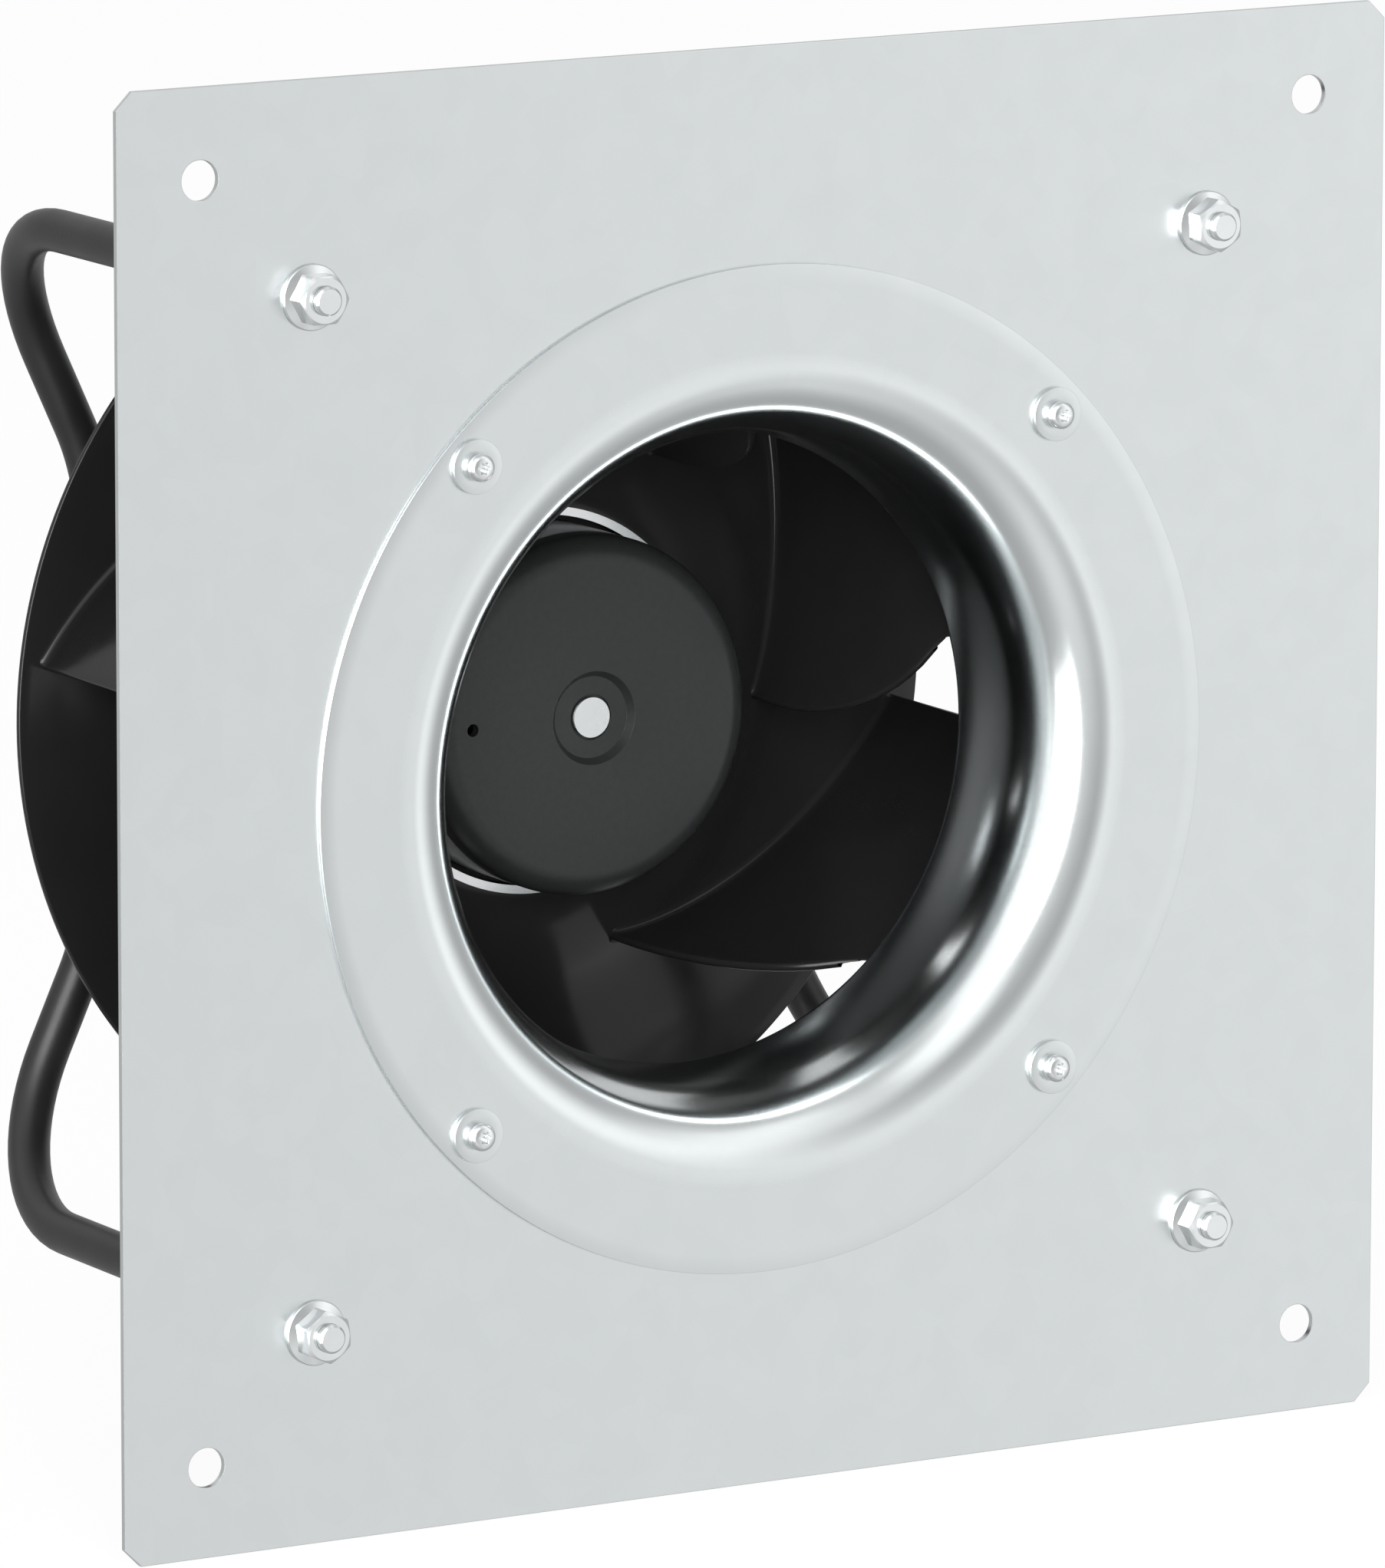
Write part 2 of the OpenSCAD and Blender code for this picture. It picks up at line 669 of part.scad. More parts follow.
module bearing_outer_rings() color("silver") axial() for (depth = [front_bearing, rear_bearing])
    translate([0, 0, depth]) race(ball_circle_r + race_land, bearing_r, ball_d / 2 + ball_gap);

module bearing_inner_rings() color("silver") axial() for (depth = [front_bearing, rear_bearing])
    translate([0, 0, depth]) race(shaft_r, ball_circle_r - race_land, ball_d / 2 + thread_gap);

module bearing_balls() color("gainsboro") axial() for (depth = [front_bearing, rear_bearing])
    translate([0, 0, depth + bearing_w / 2]) on_ring(ball_circle_r, ball_count) sphere(d = ball_d);

module preload_spring() color("silver") axial()
    tube(bearing_r - thread_gap, bearing_r - spring_w, rear_bearing - spring_t, spring_t);

module circuit_board() color("darkgreen") axial() translate([0, 0, board_depth])
    cylinder(r = board_r, h = board_t);

module board_components() color("dimgray") axial() translate([0, 0, board_depth + board_t]) {
    for (sx = [-1, 1]) translate([sx * capacitor_d, -board_r / 2, 0])
        cylinder(d = capacitor_d, h = capacitor_h);
    translate([-board_r / 2, capacitor_d / 2, 0]) cube(choke);
    translate([capacitor_d / 2, capacitor_d / 2, 0]) cube(driver);
    translate([board_r / 2, -board_r / 3, 0]) cube(terminal);
}

module cover_seal() color("black") axial() translate([0, 0, barrel_end]) linear_extrude(seal_t)
    difference() {
        union() {
            circle(barrel_r - seal_inset);
            on_ring(lug_r, 4, lug_turn) circle(lug_d / 2 - seal_inset);
        }
        circle(barrel_in_r + seal_inset);
        on_ring(lug_r, 4, lug_turn) circle(cover_screw_d / 2 + hole_gap);
    }

module electronics_cover() color("dimgray") axial() translate([0, 0, barrel_end + seal_t]) difference() {
    union() {
        rotate_extrude() polygon([[0, 0], [barrel_r, 0], [barrel_r, cover_h - cover_bevel],
            [barrel_r - cover_bevel, cover_h], [0, cover_h]]);
        on_ring(lug_r, 4, lug_turn) cylinder(d = lug_d, h = lug_h);
    }
    translate([0, 0, -cut_past]) cylinder(r = barrel_in_r, h = cover_h - cover_wall + cut_past);
    on_ring(lug_r, 4, lug_turn) {
        translate([0, 0, -cut_past]) cylinder(r = cover_screw_d / 2 + hole_gap, h = cover_h);
        translate([0, 0, lug_h]) cylinder(r = cover_head_d / 2 + hole_gap, h = cover_h);
    }
}

module cover_screws() color("silver") axial() translate([0, 0, barrel_end]) on_ring(lug_r, 4, lug_turn)
    difference() {
        union() {
            translate([0, 0, seal_t + lug_h]) cylinder(d = cover_head_d, h = cover_head_h);
            translate([0, 0, screw_tip - cover_h])
                cylinder(d = cover_screw_d, h = cover_h + lug_h + seal_t);
        }
        translate([0, 0, seal_t + lug_h + cover_head_h / 2]) hexagon(cover_screw_d * 0.6, cover_head_h);
    }

module cable_gland() color("dimgray") axial() rotate(90) translate([0, 0, gland_depth]) rotate([0, 90, 0])
    difference() {
        union() {
            translate([0, 0, barrel_in_r]) cylinder(d = gland_d, h = gland_seat_r - barrel_in_r);
            translate([0, 0, gland_seat_r]) hexagon(gland_af, gland_hex_h);
            translate([0, 0, gland_seat_r]) cylinder(d = gland_nut_d, h = gland_nut_h);
            translate([0, 0, gland_seat_r + gland_nut_h])
                cylinder(d1 = gland_nut_d, d2 = gland_mouth_d, h = gland_l - gland_nut_h);
        }
        bore(gland_bore_d / 2, barrel_in_r, gland_seat_r - barrel_in_r + gland_l);
    }

module impeller_disc() color("black") axial() rotate_extrude() polygon(concat(
    [[carrier_r, hub_depth]],
    hub_line(),
    [[disc_r, disc_depth], [disc_r, disc_depth + disc_t]],
    [for (i = [len(hub_line()) - 1 : -1 : 1]) hub_line()[i] + [0, disc_t]],
    [[hub_lip_r, hub_depth + disc_t + hub_lip_w * tan(hub_slope)],
        [hub_lip_r, hub_depth + collar_l], [carrier_r, hub_depth + collar_l]]));

// Space between hub and shroud that the blades fill, outside their leading edge. That edge runs
// straight from the hub and then curves outward to the shroud.
module blade_space() rotate_extrude() intersection() {
    polygon(concat(
        hub_line(),
        [[disc_r, disc_depth]],
        [for (i = [len(shroud_line(0)) - 1 : -1 : 0]) shroud_line(0)[i]]));
    polygon(concat(
        [[blade_in_r, disc_depth]],
        arc_points([blade_in_r + lead_curve_r, lead_depth], lead_curve_r, 180, 180 + lead_turn),
        [[disc_r, shroud_depth], [disc_r, disc_depth]]));
    square([blade_out_r, disc_depth]);
}

module impeller_blades() color("black") axial() intersection() {
    blade_space();
    for (i = [0 : blade_count - 1]) rotate(blade_phase - 90 + i * 360 / blade_count) intersection() {
        translate([blade_centre_r, 0, 0]) tube(blade_arc_r + blade_t / 2, blade_arc_r - blade_t / 2,
            shroud_depth, disc_depth - shroud_depth + cut_past);
        translate([-disc_r, 0, 0]) cube([2 * disc_r, disc_r, disc_depth + 2 * cut_past]);
    }
}

module impeller_shroud() color("black") axial() rotate_extrude() polygon(concat(
    shroud_line(0),
    [for (i = [len(shroud_line(shroud_t)) - 1 : -1 : 0]) shroud_line(shroud_t)[i]]));

module carrier_ring() color("silver") axial() rotate_extrude() polygon([
    [rotor_r + carrier_groove_w, hub_depth], [carrier_r, hub_depth],
    [carrier_r, hub_depth + carrier_l], [rotor_r, hub_depth + carrier_l],
    [rotor_r, hub_depth + carrier_groove_l], [rotor_r + carrier_groove_w, hub_depth + carrier_groove_l]]);

module rotor_cup() color("dimgray") axial() difference() {
    rotate_extrude() polygon(concat(
        [[shaft_r, rotor_depth + recess_h], [recess_d / 2 - recess_taper, rotor_depth + recess_h],
            [recess_d / 2, rotor_depth]],
        arc_points(edge_centre, rotor_edge_r, -90, 0),
        [[rotor_r, rotor_end], [magnet_r, rotor_end]],
        arc_points(edge_centre, rotor_edge_r - rotor_wall, 0, -90),
        [[boss_d / 2, rotor_depth + rotor_wall], [boss_d / 2, rotor_depth + boss_l],
            [shaft_r, rotor_depth + boss_l]]));
    translate([-balance_hole_r, 0, 0]) bore(balance_hole_d / 2, rotor_depth, rotor_wall);
}

module rotor_magnets() color("darkslategray") axial() for (i = [0 : magnet_count - 1])
    rotate(i * 360 / magnet_count) translate([0, 0, stack_depth - magnet_over])
        rotate_extrude(angle = 360 / magnet_count - magnet_gap_turn) translate([magnet_r - magnet_t, 0])
            square([magnet_t, stack_l + 2 * magnet_over]);

module motor_shaft() color("gainsboro") axial() difference() {
    union() {
        translate([0, 0, shaft_depth])
            cylinder(r1 = shaft_r - shaft_bevel, r2 = shaft_r, h = shaft_bevel);
        translate([0, 0, shaft_depth + shaft_bevel])
            cylinder(r = shaft_r, h = shaft_end - shaft_depth - shaft_bevel);
    }
    tube(shaft_r + cut_past, shaft_r - ring_groove, ring_depth, ring_t);
}

module shaft_retaining_ring() color("dimgray") axial() difference() {
    tube(shaft_r - ring_groove + ring_w, shaft_r - ring_groove, ring_depth, ring_t);
    translate([0, -ring_open / 2, ring_depth - cut_past])
        cube([shaft_r + ring_w, ring_open, ring_t + 2 * cut_past]);
}

mounting_plate();
inlet_nozzle();
nozzle_washers();
nozzle_screws();
nozzle_press_nuts();
left_strut();
right_strut();
strut_flange_nuts();
motor_bracket();
motor_screws();
stator_housing();
bearing_cap();
stator_core();
winding_insulators();
stator_windings();
bearing_outer_rings();
preload_spring();
circuit_board();
board_components();
cover_seal();
electronics_cover();
cover_screws();
cable_gland();
impeller_disc();
impeller_blades();
impeller_shroud();
carrier_ring();
rotor_cup();
rotor_magnets();
motor_shaft();
bearing_inner_rings();
bearing_balls();
shaft_retaining_ring();
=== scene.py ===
"""Looks of a plug fan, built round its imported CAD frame. Lengths in the shape code are millimetres."""
import json
import math

import bmesh
import bpy
from mathutils import Matrix, Vector


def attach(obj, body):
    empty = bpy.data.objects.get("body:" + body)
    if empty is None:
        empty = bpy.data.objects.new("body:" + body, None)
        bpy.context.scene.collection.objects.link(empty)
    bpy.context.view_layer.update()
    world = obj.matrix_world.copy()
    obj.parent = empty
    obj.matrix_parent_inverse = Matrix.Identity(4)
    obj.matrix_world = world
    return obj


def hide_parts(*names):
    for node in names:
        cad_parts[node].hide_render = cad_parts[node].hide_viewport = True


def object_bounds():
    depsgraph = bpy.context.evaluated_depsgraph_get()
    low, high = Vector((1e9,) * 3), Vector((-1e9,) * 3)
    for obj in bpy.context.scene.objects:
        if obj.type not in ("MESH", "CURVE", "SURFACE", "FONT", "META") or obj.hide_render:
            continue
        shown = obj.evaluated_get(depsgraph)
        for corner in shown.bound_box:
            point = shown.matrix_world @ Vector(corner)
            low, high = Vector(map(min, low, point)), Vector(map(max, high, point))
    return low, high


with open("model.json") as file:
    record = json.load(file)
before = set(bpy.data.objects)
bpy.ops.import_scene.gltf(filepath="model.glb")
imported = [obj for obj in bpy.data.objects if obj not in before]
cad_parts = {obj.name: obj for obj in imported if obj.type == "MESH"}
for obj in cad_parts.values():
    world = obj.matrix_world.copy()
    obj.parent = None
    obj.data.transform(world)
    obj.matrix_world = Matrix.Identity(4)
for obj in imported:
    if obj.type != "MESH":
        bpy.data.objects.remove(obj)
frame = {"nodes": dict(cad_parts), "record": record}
cad_lo, cad_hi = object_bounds()
NODES = frame["nodes"]
MM = 0.001

# Node helpers

# Range that nearly all values of a noise texture lie in
NOISE_LOW, NOISE_HIGH = 0.25, 0.75


def new_material(name):
    mat = bpy.data.materials.new(name)
    mat.use_nodes = True
    tree = mat.node_tree
    return mat, tree, tree.nodes["Principled BSDF"]


def feed(tree, socket, value):
    """Sets a plain number on a socket, or links an output to it."""
    if isinstance(value, (int, float)):
        socket.default_value = value
    else:
        tree.links.new(value, socket)


def coords(tree, scale=(1, 1, 1)):
    """Object coordinates, in metres, stretched by scale."""
    place = tree.nodes.new("ShaderNodeTexCoord")
    mapping = tree.nodes.new("ShaderNodeMapping")
    mapping.inputs["Scale"].default_value = scale
    tree.links.new(place.outputs["Object"], mapping.inputs["Vector"])
    return mapping.outputs["Vector"]


def noise(tree, scale, detail=3.0, stretch=(1, 1, 1)):
    tex = tree.nodes.new("ShaderNodeTexNoise")
    tex.inputs["Scale"].default_value = scale
    tex.inputs["Detail"].default_value = detail
    tree.links.new(coords(tree, stretch), tex.inputs["Vector"])
    return tex.outputs["Fac"]


def cells(tree, scale):
    """One random value for each crystal."""
    tex = tree.nodes.new("ShaderNodeTexVoronoi")
    tex.inputs["Scale"].default_value = scale
    tree.links.new(coords(tree), tex.inputs["Vector"])
    split = tree.nodes.new("ShaderNodeSeparateColor")
    tree.links.new(tex.outputs["Color"], split.inputs["Color"])
    return split.outputs["Red"]


def math_node(tree, operation, first, second):
    node = tree.nodes.new("ShaderNodeMath")
    node.operation = operation
    feed(tree, node.inputs[0], first)
    feed(tree, node.inputs[1], second)
    return node.outputs[0]


def remap(tree, value, low, high, from_low=NOISE_LOW, from_high=NOISE_HIGH):
    node = tree.nodes.new("ShaderNodeMapRange")
    node.inputs["From Min"].default_value = from_low
    node.inputs["From Max"].default_value = from_high
    node.inputs["To Min"].default_value = low
    node.inputs["To Max"].default_value = high
    tree.links.new(value, node.inputs["Value"])
    return node.outputs["Result"]


def mix(tree, factor, first, second, data_type="FLOAT"):
    node = tree.nodes.new("ShaderNodeMix")
    node.data_type = data_type
    for name, value in (("Factor", factor), ("A", first), ("B", second)):
        feed(tree, node.inputs[name], value)
    return node.outputs["Result"]


def two_tone(tree, value, dark, light):
    ramp = tree.nodes.new("ShaderNodeValToRGB")
    stops = ((NOISE_LOW, dark), (NOISE_HIGH, light))
    for element, (position, colour) in zip(ramp.color_ramp.elements, stops):
        element.position = position
        element.color = (*colour, 1)
    tree.links.new(value, ramp.inputs["Fac"])
    return ramp.outputs["Color"]


def bump(tree, shader, height, depth_mm):
    node = tree.nodes.new("ShaderNodeBump")
    node.inputs["Distance"].default_value = depth_mm * MM
    tree.links.new(height, node.inputs["Height"])
    tree.links.new(node.outputs["Normal"], shader.inputs["Normal"])


def axis_distance(tree):
    """Distance from the fan axis, in metres."""
    length = tree.nodes.new("ShaderNodeVectorMath")
    length.operation = "LENGTH"
    tree.links.new(coords(tree, (1, 0, 1)), length.inputs[0])
    return length.outputs["Value"]


def step_at_depth(tree, depth_mm, blur_mm, before, after):
    """Changes from one value to another where the surface passes a depth along the fan axis."""
    place = tree.nodes.new("ShaderNodeTexCoord")
    split = tree.nodes.new("ShaderNodeSeparateXYZ")
    tree.links.new(place.outputs["Object"], split.inputs["Vector"])
    start, end = (depth_mm - blur_mm) * MM, (depth_mm + blur_mm) * MM
    return remap(tree, split.outputs["Y"], before, after, start, end)


# Materials

# Crystals of the zinc for each metre of sheet
SPANGLE_SCALE = 110
LIP_TONES = (0.661, 0.691, 0.696), (0.669, 0.699, 0.704)
# The cup's satin paint; past the steel band these tones are painted shade for the gap behind the carrier
# ring.
PAINT_AND_SHADE_TONES = (0.0268, 0.0281, 0.0284), (0.0317, 0.0333, 0.0337)
PAINT_GLOSS, PAINT_ROUGHNESS = 0.3, 0.36
BAND_TONES = (0.64, 0.65, 0.66), (0.78, 0.79, 0.80)
BAND_METALLIC, BAND_ROUGHNESS = 0.25, 0.25
# The groove's near-black is painted shade for the gap behind the carrier ring's face.
GROOVE_PAINTED_SHADE, RING_STEEL = (0.015, 0.015, 0.016), (0.67, 0.68, 0.69)
GROOVE_ROUGHNESS = 0.6


def shade(colour, factor):
    return tuple(min(1.0, c * factor) for c in colour)


def surface(name, colour, roughness, metallic=0.0, tone=0.05, tone_scale=30, rough_span=0.05,
            rough_scale=80, grain_scale=900, grain_mm=0.02, stretch=(1, 1, 1), crystals=0, gloss=0.5):
    """Material with tone and roughness that drift over the surface and a fine grain in its relief."""
    mat, tree, shader = new_material(name)
    shader.inputs["Metallic"].default_value = metallic
    shader.inputs["Specular IOR Level"].default_value = gloss
    drift = cells(tree, crystals) if crystals else noise(tree, tone_scale, detail=4.0, stretch=stretch)
    tree.links.new(two_tone(tree, drift, shade(colour, 1 - tone), shade(colour, 1 + tone)),
                   shader.inputs["Base Color"])
    wear = noise(tree, rough_scale, detail=4.0, stretch=stretch)
    tree.links.new(remap(tree, wear, roughness - rough_span, roughness + rough_span),
                   shader.inputs["Roughness"])
    bump(tree, shader, noise(tree, grain_scale, detail=2.0, stretch=stretch), grain_mm)
    return mat


def drawn_sheet_material(flange_edge_mm, lip_edge_mm):
    """Galvanised sheet as the plate's on the flange, polished by the drawing tool on the lip."""
    mat, tree, shader = new_material("bright_galvanised")
    shader.inputs["Metallic"].default_value = 1.0
    tree.links.new(two_tone(tree, cells(tree, SPANGLE_SCALE), *LIP_TONES), shader.inputs["Base Color"])
    lip = remap(tree, axis_distance(tree), 1, 0, lip_edge_mm * MM, flange_edge_mm * MM)
    drift = remap(tree, noise(tree, scale=80, detail=4.0), low=0.285, high=0.315)
    spangle = remap(tree, noise(tree, scale=3000, detail=1.0), low=0.13, high=0.20)
    tree.links.new(mix(tree, lip, drift, spangle), shader.inputs["Roughness"])
    bump(tree, shader, noise(tree, scale=700, detail=2.0), depth_mm=0.002)
    return mat


def rotor_material(paint_end_mm, steel_end_mm):
    """Satin paint on the cup, with a band of bare turned steel between two depths. Past the band the dark
    tones come back as painted shade for the gap behind the carrier ring.
    """
    mat, tree, shader = new_material("rotor_paint")
    shader.inputs["Specular IOR Level"].default_value = PAINT_GLOSS
    # Past steel_end_mm the dark tones return: painted shade for the gap behind the carrier ring.
    front, rear = (step_at_depth(tree, end, blur_mm=0.15, before=0, after=1)
                   for end in (paint_end_mm, steel_end_mm))
    band = math_node(tree, "SUBTRACT", front, rear)
    paint = two_tone(tree, noise(tree, scale=500), *PAINT_AND_SHADE_TONES)
    steel = two_tone(tree, noise(tree, scale=900, stretch=(0.1, 1, 0.1)), *BAND_TONES)
    tree.links.new(mix(tree, band, paint, steel, "RGBA"), shader.inputs["Base Color"])
    tree.links.new(remap(tree, band, 0, BAND_METALLIC, 0, 1), shader.inputs["Metallic"])
    tree.links.new(remap(tree, band, PAINT_ROUGHNESS, BAND_ROUGHNESS, 0, 1), shader.inputs["Roughness"])
    bump(tree, shader, noise(tree, scale=1800, detail=2.0), depth_mm=0.02)
    return mat


def carrier_material(face_end_mm):
    """Bright turned steel on the ring's front face, and near-black painted shade in the groove behind it."""
    mat, tree, shader = new_material("bare_steel")
    face = step_at_depth(tree, face_end_mm, blur_mm=0.1, before=1, after=0)
    # Past face_end_mm the ring is near-black: painted shade in the groove.
    tree.links.new(two_tone(tree, face, GROOVE_PAINTED_SHADE, RING_STEEL), shader.inputs["Base Color"])
    tree.links.new(face, shader.inputs["Metallic"])
    turned_marks = remap(tree, noise(tree, scale=900), low=0.13, high=0.16)
    tree.links.new(mix(tree, face, GROOVE_ROUGHNESS, turned_marks), shader.inputs["Roughness"])
    bump(tree, shader, noise(tree, scale=1600, detail=2.0), depth_mm=0.002)
    return mat


FINISHES = {
    "galvanised_sheet": dict(colour=(0.665, 0.695, 0.700), roughness=0.30, metallic=1.0, tone=0.006,
                             crystals=SPANGLE_SCALE, rough_span=0.015, grain_scale=500, grain_mm=0.002),
    "zinc_fasteners": dict(colour=(0.70, 0.72, 0.725), roughness=0.17, metallic=1.0, tone=0.02,
                           tone_scale=300, rough_span=0.03, grain_scale=2500, grain_mm=0.002),
    "black_coating": dict(colour=(0.023, 0.023, 0.024), roughness=0.38, tone=0.12, tone_scale=60,
                          rough_span=0.04, grain_scale=700, grain_mm=0.03, gloss=0.38),
    "cast_aluminium": dict(colour=(0.60, 0.61, 0.62), roughness=0.42, metallic=1.0, tone=0.05,
                           tone_scale=120, rough_span=0.06, grain_scale=900, grain_mm=0.06),
    "lamination_steel": dict(colour=(0.30, 0.31, 0.32), roughness=0.4, metallic=1.0, tone=0.08,
                             grain_scale=2000, grain_mm=0.05, stretch=(0.05, 1, 0.05)),
    "insulator_plastic": dict(colour=(0.78, 0.75, 0.66), roughness=0.5, tone=0.04, grain_mm=0.01),
    "enamelled_copper": dict(colour=(0.55, 0.22, 0.08), roughness=0.3, metallic=0.9, tone=0.12,
                             tone_scale=400, grain_scale=1800, grain_mm=0.15, stretch=(1, 0.1, 1)),
    "bearing_steel": dict(colour=(0.655, 0.675, 0.68), roughness=0.25, metallic=1.0, tone=0.02,
                          tone_scale=200, grain_scale=2500, grain_mm=0.003),
    "board_laminate": dict(colour=(0.02, 0.16, 0.07), roughness=0.4, tone=0.1, tone_scale=200,
                           grain_mm=0.01),
    "component_plastic": dict(colour=(0.05, 0.05, 0.055), roughness=0.45, tone=0.1, grain_mm=0.01),
    "seal_rubber": dict(colour=(0.02, 0.02, 0.02), roughness=0.7, tone=0.15, grain_mm=0.03),
    "cover_plastic": dict(colour=(0.022, 0.022, 0.024), roughness=0.45, tone=0.12, tone_scale=90,
                          rough_span=0.06, grain_scale=1100, grain_mm=0.05),
    "impeller_plastic": dict(colour=(0.0252, 0.0252, 0.0257), roughness=0.17, tone=0.08, tone_scale=45,
                             rough_span=0.03, rough_scale=140, grain_scale=1100, grain_mm=0.008, gloss=0.27),
    "magnet_ferrite": dict(colour=(0.05, 0.05, 0.055), roughness=0.55, tone=0.1, grain_mm=0.03),
}
SLOTS = {name: surface(name, **finish) for name, finish in FINISHES.items()}
SLOTS["bright_galvanised"] = drawn_sheet_material(flange_edge_mm=116, lip_edge_mm=112)
SLOTS["bare_steel"] = carrier_material(face_end_mm=127.1)
SLOTS["rotor_paint"] = rotor_material(paint_end_mm=106, steel_end_mm=126.4)
for sub in frame["record"]["subparts"]:
    node = NODES[sub["node"]]
    node.data.materials.clear()
    node.data.materials.append(SLOTS[sub["material_slot"]])

# Shape helpers

MERGE_DISTANCE = 1e-7
# Inset half way round the eased edge of a sheet, as a share of the ease
EASE_MIDDLE = 0.3


def new_object(name, data):
    obj = bpy.data.objects.new(name, data)
    bpy.context.scene.collection.objects.link(obj)
    return obj


def solid_mesh(name, shape):
    """Mesh from points in millimetres, with its faces turned outward."""
    verts, faces = shape
    mesh = bpy.data.meshes.new(name)
    mesh.from_pydata([Vector(v) * MM for v in verts], [], faces)
    bm = bmesh.new()
    bm.from_mesh(mesh)
    bmesh.ops.remove_doubles(bm, verts=bm.verts, dist=MERGE_DISTANCE)
    bmesh.ops.recalc_face_normals(bm, faces=bm.faces)
    bm.to_mesh(mesh)
    bm.free()
    return mesh


def smooth(obj, angle):
    obj.data.polygons.foreach_set("use_smooth", [True] * len(obj.data.polygons))
    obj.data.set_sharp_from_angle(angle=math.radians(angle))


def piece(name, shape, slot, body, replaced=(), angle=35):
    """New piece, riding on a body and standing for CAD nodes."""
    obj = new_object(name, solid_mesh(name, shape))
    obj.data.materials.append(SLOTS[slot])
    smooth(obj, angle)
    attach(obj, body)
    if replaced:
        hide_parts(*replaced)
    return obj


def join(parts):
    verts, faces = [], []
    for v, f in parts:
        faces += [tuple(i + len(verts) for i in face) for face in f]
        verts += v
    return verts, faces


def turns(segments):
    """Angles round a full circle."""
    return [2 * math.pi * k / segments for k in range(segments)]


def arc(centre, r, start, end, steps):
    """Points on an arc of a profile, angles in degrees."""
    angles = [math.radians(start + (end - start) * i / steps) for i in range(steps + 1)]
    return [(centre[0] + r * math.cos(a), centre[1] + r * math.sin(a)) for a in angles]


def round_corner(before, corner, after, r, steps=4):
    """Arc that rounds one corner of a profile."""
    p, a, b = Vector(corner), Vector(before), Vector(after)
    u, v = (a - p).normalized(), (b - p).normalized()
    half = u.angle(v) / 2
    reach = r / math.tan(half)
    centre = p + (u + v).normalized() * (r / math.sin(half))
    start, end = p + u * reach - centre, p + v * reach - centre
    turn = start.angle_signed(end)
    return [tuple(centre + Matrix.Rotation(-turn * i / steps, 2) @ start) for i in range(steps + 1)]


def eased(points, radii):
    """Closed profile with the corners named in radii rounded."""
    out = []
    for i, p in enumerate(points):
        if i in radii:
            out += round_corner(points[i - 1], p, points[(i + 1) % len(points)], radii[i])
        else:
            out.append(p)
    return out


def stack(rings, closed=False):
    """Skin over rings of equal length. A closed stack joins its ends to each other, an open one is capped."""
    n, count = len(rings[0]), len(rings)
    verts = [p for ring in rings for p in ring]
    faces = []
    for i in range(count if closed else count - 1):
        a, b = i * n, (i + 1) % count * n
        faces += [(a + k, a + (k + 1) % n, b + (k + 1) % n, b + k) for k in range(n)]
    if not closed:
        faces += [tuple(range(n)), tuple(range((count - 1) * n, count * n))]
    return verts, faces


def at(value, angle):
    return value(angle) if callable(value) else value


def turned(profile, segments=240, centre=(0, 0), closed=True):
    """Profile of (radius, depth), each a number or a function of the angle, turned about a line along Y."""
    return stack([[(centre[0] + at(r, a) * math.cos(a), at(y, a), centre[1] + at(r, a) * math.sin(a))
                   for a in turns(segments)] for r, y in profile], closed)


def circle(x, z, r, segments):
    """Hole edge that grows with the inset."""
    return lambda inset: [(x + (r + inset) * math.cos(a), z + (r + inset) * math.sin(a))
                          for a in turns(segments)]


def pierced_sheet(edges, front, back, ease):
    """Flat sheet across the fan axis. Each edge gives its points (x, z) for an inset into the metal."""
    mid = EASE_MIDDLE * ease
    steps = [(ease, front), (mid, front + mid), (0, front + ease),
             (0, back - ease), (mid, back - mid), (ease, back)]
    bm = bmesh.new()
    rims = ([], [])
    for edge in edges:
        rings = [[bm.verts.new((x, y, z)) for x, z in edge(inset)] for inset, y in steps]
        n = len(rings[0])
        for a, b in zip(rings, rings[1:]):
            for k in range(n):
                bm.faces.new((a[k], a[(k + 1) % n], b[(k + 1) % n], b[k]))
        for rim, ring in zip(rims, (rings[0], rings[-1])):
            rim += [bm.edges.get((ring[k], ring[(k + 1) % n])) for k in range(n)]
    for rim in rims:
        bmesh.ops.triangle_fill(bm, use_beauty=True, edges=rim)
    bm.verts.index_update()
    shape = [v.co.copy() for v in bm.verts], [tuple(v.index for v in f.verts) for f in bm.faces]
    bm.free()
    return shape


def corners(pitch):
    return [(sx * pitch / 2, sz * pitch / 2) for sx in (-1, 1) for sz in (-1, 1)]


# Inlet nozzle

PLATE_T, NOZZLE_T, FLANGE_R = 2, 1.2, 140
SHEET_EDGE = 0.1
THROAT_R, THROAT_DEPTH = 89, 44
LIP_R, LIP_TURN = 16, math.radians(67)
LIP_DEPTH = LIP_R - NOZZLE_T
LONG_TURN = math.pi / 2 - LIP_TURN
LONG_R = (THROAT_DEPTH - LIP_DEPTH + LIP_R * math.cos(LIP_TURN)) / math.sin(LONG_TURN)
MOUTH_R = THROAT_R + LONG_R * (1 - math.cos(LONG_TURN)) + LIP_R * math.sin(LIP_TURN)
FLANGE_EASE, FLAT_MARGIN = 5, 0.5
BENDS = [math.radians(57), math.radians(80)]
BEND_STEPS, RIM_STEPS, NOZZLE_SEGMENTS = 20, 8, 320


def bend_radii():
    """Radii of the middle and rear arcs that join the lip's arc to the rear rim."""
    (c1, s1), (c2, s2) = [(math.cos(a), math.sin(a)) for a in BENDS]
    along = THROAT_DEPTH + NOZZLE_T - LIP_R * (1 - c1)
    inward = MOUTH_R - THROAT_R - LIP_R * s1
    scale = (c1 - c2) * (1 - s2) - c2 * (s2 - s1)
    return (along * (1 - s2) - inward * c2) / scale, (inward * (c1 - c2) - along * (s2 - s1)) / scale


